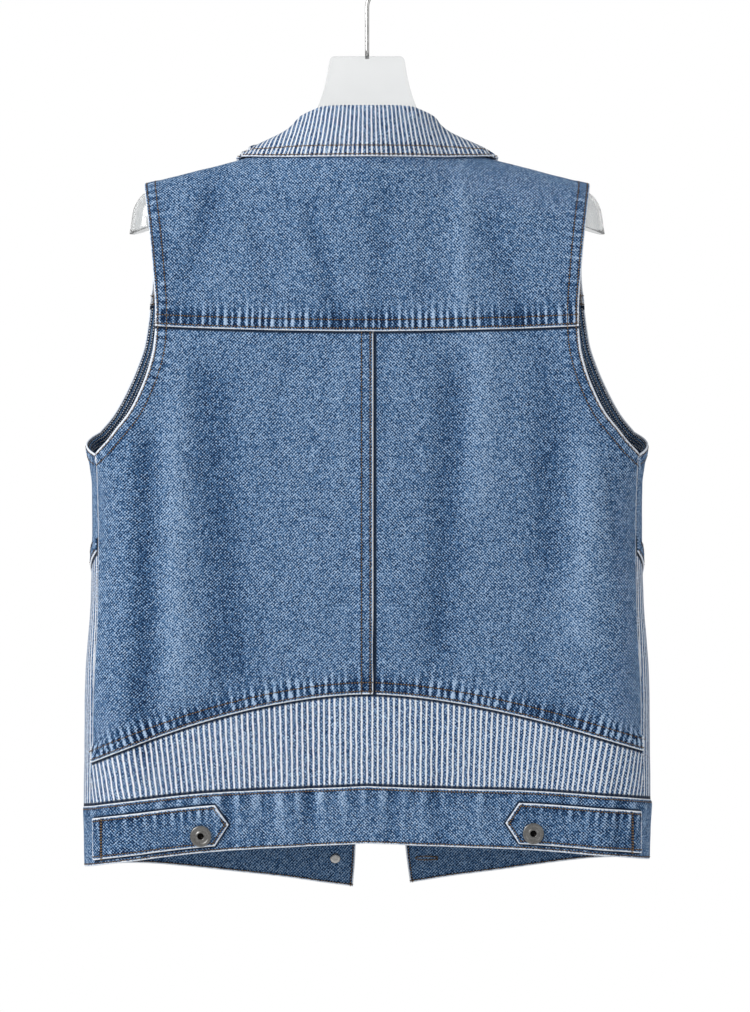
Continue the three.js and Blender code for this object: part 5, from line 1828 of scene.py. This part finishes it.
def add_surroundings():
    """White surroundings: full white where the camera sees them, softer as light on the vest."""
    world = bpy.data.worlds.new("white studio")
    bpy.context.scene.world = world
    world.use_nodes = True
    tree = world.node_tree
    tree.nodes.clear()
    path = add_node(tree, "ShaderNodeLightPath")
    seen = math_node(tree, "MAXIMUM", path.outputs["Is Camera Ray"], path.outputs["Is Transmission Ray"])
    level = add_node(
        tree, "ShaderNodeMapRange", {"To Min": settings().fill_light, "To Max": 1.0}, {"Value": seen}
    ).outputs[0]
    back = add_node(tree, "ShaderNodeBackground", {"Color": (1, 1, 1, 1)}, {"Strength": level})
    add_node(tree, "ShaderNodeOutputWorld", links={"Surface": back.outputs[0]})


def add_softboxes():
    for box in SOFTBOXES:
        data = bpy.data.lights.new(box.name, "AREA")
        data.energy = settings().key_light * box.share
        data.size = box.size
        lamp = linked(box.name, data)
        lamp.location = box.place
        aim = Vector(LIT_MIDDLE) - Vector(box.place)
        lamp.rotation_euler = aim.to_track_quat("-Z", "Y").to_euler()


def add_camera():
    data = bpy.data.cameras.new("photo view")
    data.sensor_width = CAMERA_SENSOR
    data.lens = CAMERA_LENS
    camera = linked("photo view", data)
    camera.location = CAMERA_PLACE
    camera.rotation_euler = (math.pi / 2, 0, 0)
    bpy.context.scene.camera = camera


def build_stage():
    add_floor()
    add_surroundings()
    add_softboxes()
    bpy.context.scene.view_settings.view_transform = "Standard"
    add_camera()


class VestSettings(bpy.types.PropertyGroup):
    """Sizes and colours of the vest that a user would change."""

    thread_thickness: bpy.props.FloatProperty(
        name="Thread thickness", description="Thickness of the topstitching", default=0.001, unit="LENGTH"
    )
    stitch_length: bpy.props.FloatProperty(
        name="Stitch length", description="From one stitch to the next", default=0.0025, unit="LENGTH"
    )
    thread_colour: bpy.props.FloatVectorProperty(
        name="Thread", description="Colour of the topstitching", default=srgb("#957a5a"), subtype="COLOR"
    )
    worn_colour: bpy.props.FloatVectorProperty(
        name="Worn edge", description="Colour of rubbed edges", default=srgb("#f0f6ff"), subtype="COLOR"
    )
    # Colour of the painted shadow beside lapped edges and round the tabs.
    painted_shadow_colour: bpy.props.FloatVectorProperty(
        name="Shadowed cloth",
        description="Colour under a lapped seam",
        default=srgb("#0e1c31"),
        subtype="COLOR",
    )
    collar_stripe_pitch: bpy.props.FloatProperty(
        name="Collar stripes",
        description="From one stripe of the collar to the next",
        default=0.0043,
        unit="LENGTH",
    )
    collar_stripe_share: bpy.props.FloatProperty(
        name="Collar white", description="White share of the collar's stripes", default=0.37, subtype="FACTOR"
    )
    collar_fan: bpy.props.FloatProperty(
        name="Collar fan", description="How much the collar's stripes spread downwards, a metre", default=5.0
    )
    insert_stripe_pitch: bpy.props.FloatProperty(
        name="Insert stripes",
        description="From one stripe of the inserts to the next",
        default=0.0047,
        unit="LENGTH",
    )
    insert_stripe_share: bpy.props.FloatProperty(
        name="Insert white", description="White share of the inserts' stripes", default=0.34, subtype="FACTOR"
    )
    fill_light: bpy.props.FloatProperty(
        name="Fill light", description="Strength of the white surroundings", default=0.52
    )
    key_light: bpy.props.FloatProperty(
        name="Key light", description="Power of the main softbox", default=46.0, unit="POWER"
    )


class VEST_OT_stage(bpy.types.Operator):
    """Adds the floor, the lights and the camera"""

    bl_idname = "vest.stage"
    bl_label = "Studio"

    def execute(self, context):
        build_stage()
        return {"FINISHED"}


class VEST_OT_hanger(bpy.types.Operator):
    """Makes the clear channel hanger"""

    bl_idname = "vest.hanger"
    bl_label = "Hanger"

    def execute(self, context):
        build_hanger()
        return {"FINISHED"}


class VEST_OT_neck_plate(bpy.types.Operator):
    """Makes the hanger's clear neck plate"""

    bl_idname = "vest.neck_plate"
    bl_label = "Neck plate"

    def execute(self, context):
        build_neck_plate()
        return {"FINISHED"}


class VEST_OT_hook(bpy.types.Operator):
    """Bends the hanger's wire hook"""

    bl_idname = "vest.hook"
    bl_label = "Hook"

    def execute(self, context):
        build_hook()
        return {"FINISHED"}


class VEST_OT_back_yoke(bpy.types.Operator):
    """Makes the back yoke and its stitching"""

    bl_idname = "vest.back_yoke"
    bl_label = "Back yoke"

    def execute(self, context):
        build_back_yoke()
        return {"FINISHED"}


class VEST_OT_back_panels(bpy.types.Operator):
    """Makes the two back panels and their stitching"""

    bl_idname = "vest.back_panels"
    bl_label = "Back panels"

    def execute(self, context):
        build_back_panels()
        return {"FINISHED"}


class VEST_OT_hem_insert(bpy.types.Operator):
    """Makes the striped insert of the back"""

    bl_idname = "vest.hem_insert"
    bl_label = "Hem insert"

    def execute(self, context):
        build_hem_insert()
        return {"FINISHED"}


class VEST_OT_waistband(bpy.types.Operator):
    """Makes the waistband and its stitching"""

    bl_idname = "vest.waistband"
    bl_label = "Waistband"

    def execute(self, context):
        build_waistband()
        return {"FINISHED"}


class VEST_OT_tabs(bpy.types.Operator):
    """Makes the two adjuster tabs"""

    bl_idname = "vest.tabs"
    bl_label = "Tabs"

    def execute(self, context):
        build_tabs()
        return {"FINISHED"}


class VEST_OT_collar(bpy.types.Operator):
    """Makes the striped collar and its stitching"""

    bl_idname = "vest.collar"
    bl_label = "Collar"

    def execute(self, context):
        build_collar()
        return {"FINISHED"}


class VEST_OT_front_yokes(bpy.types.Operator):
    """Makes the striped front yokes"""

    bl_idname = "vest.front_yokes"
    bl_label = "Front yokes"

    def execute(self, context):
        build_front_yokes()
        return {"FINISHED"}


class VEST_OT_front_chests(bpy.types.Operator):
    """Makes the denim of the chest"""

    bl_idname = "vest.front_chests"
    bl_label = "Front chests"

    def execute(self, context):
        build_front_chests()
        return {"FINISHED"}


class VEST_OT_front_lowers(bpy.types.Operator):
    """Makes the striped lower fronts"""

    bl_idname = "vest.front_lowers"
    bl_label = "Front lowers"

    def execute(self, context):
        build_front_lowers()
        return {"FINISHED"}


class VEST_OT_plackets(bpy.types.Operator):
    """Makes the two folded front bands"""

    bl_idname = "vest.plackets"
    bl_label = "Plackets"

    def execute(self, context):
        build_plackets()
        return {"FINISHED"}


class VEST_OT_facings(bpy.types.Operator):
    """Makes the strips turned in at the armholes"""

    bl_idname = "vest.facings"
    bl_label = "Armhole facings"

    def execute(self, context):
        build_facings()
        return {"FINISHED"}


class VEST_OT_tab_buttons(bpy.types.Operator):
    """Turns the metal buttons of the tabs"""

    bl_idname = "vest.tab_buttons"
    bl_label = "Tab buttons"

    def execute(self, context):
        build_tab_buttons()
        return {"FINISHED"}


class VEST_OT_front_buttons(bpy.types.Operator):
    """Turns the metal buttons and rivets of the front"""

    bl_idname = "vest.front_buttons"
    bl_label = "Front buttons"

    def execute(self, context):
        build_front_buttons()
        return {"FINISHED"}


class VEST_OT_buttonholes(bpy.types.Operator):
    """Sews the buttonholes of the front"""

    bl_idname = "vest.buttonholes"
    bl_label = "Buttonholes"

    def execute(self, context):
        build_buttonholes()
        return {"FINISHED"}


OPERATORS = (
    VEST_OT_stage,
    VEST_OT_hanger,
    VEST_OT_neck_plate,
    VEST_OT_hook,
    VEST_OT_back_yoke,
    VEST_OT_back_panels,
    VEST_OT_hem_insert,
    VEST_OT_waistband,
    VEST_OT_tabs,
    VEST_OT_collar,
    VEST_OT_front_yokes,
    VEST_OT_front_chests,
    VEST_OT_front_lowers,
    VEST_OT_plackets,
    VEST_OT_facings,
    VEST_OT_tab_buttons,
    VEST_OT_front_buttons,
    VEST_OT_buttonholes,
)


class VEST_PT_pieces(bpy.types.Panel):
    """Lists the pieces of the vest in the sidebar."""

    bl_label = "Denim vest"
    bl_idname = "VEST_PT_pieces"
    bl_space_type = "VIEW_3D"
    bl_region_type = "UI"
    bl_category = "Vest"

    def draw(self, context):
        for key in VestSettings.__annotations__:
            self.layout.prop(context.scene.vest, key)
        for operator in OPERATORS:
            self.layout.operator(operator.bl_idname)


CLASSES = [VestSettings, *OPERATORS, VEST_PT_pieces]


def register():
    for item in CLASSES:
        bpy.utils.register_class(item)
    bpy.types.Scene.vest = bpy.props.PointerProperty(type=VestSettings)


def unregister():
    del bpy.types.Scene.vest
    for item in reversed(CLASSES):
        bpy.utils.unregister_class(item)


def main():
    register()
    for operator in OPERATORS:
        getattr(bpy.ops.vest, operator.bl_idname.partition(".")[2])()


if __name__ == "__main__":
    main()
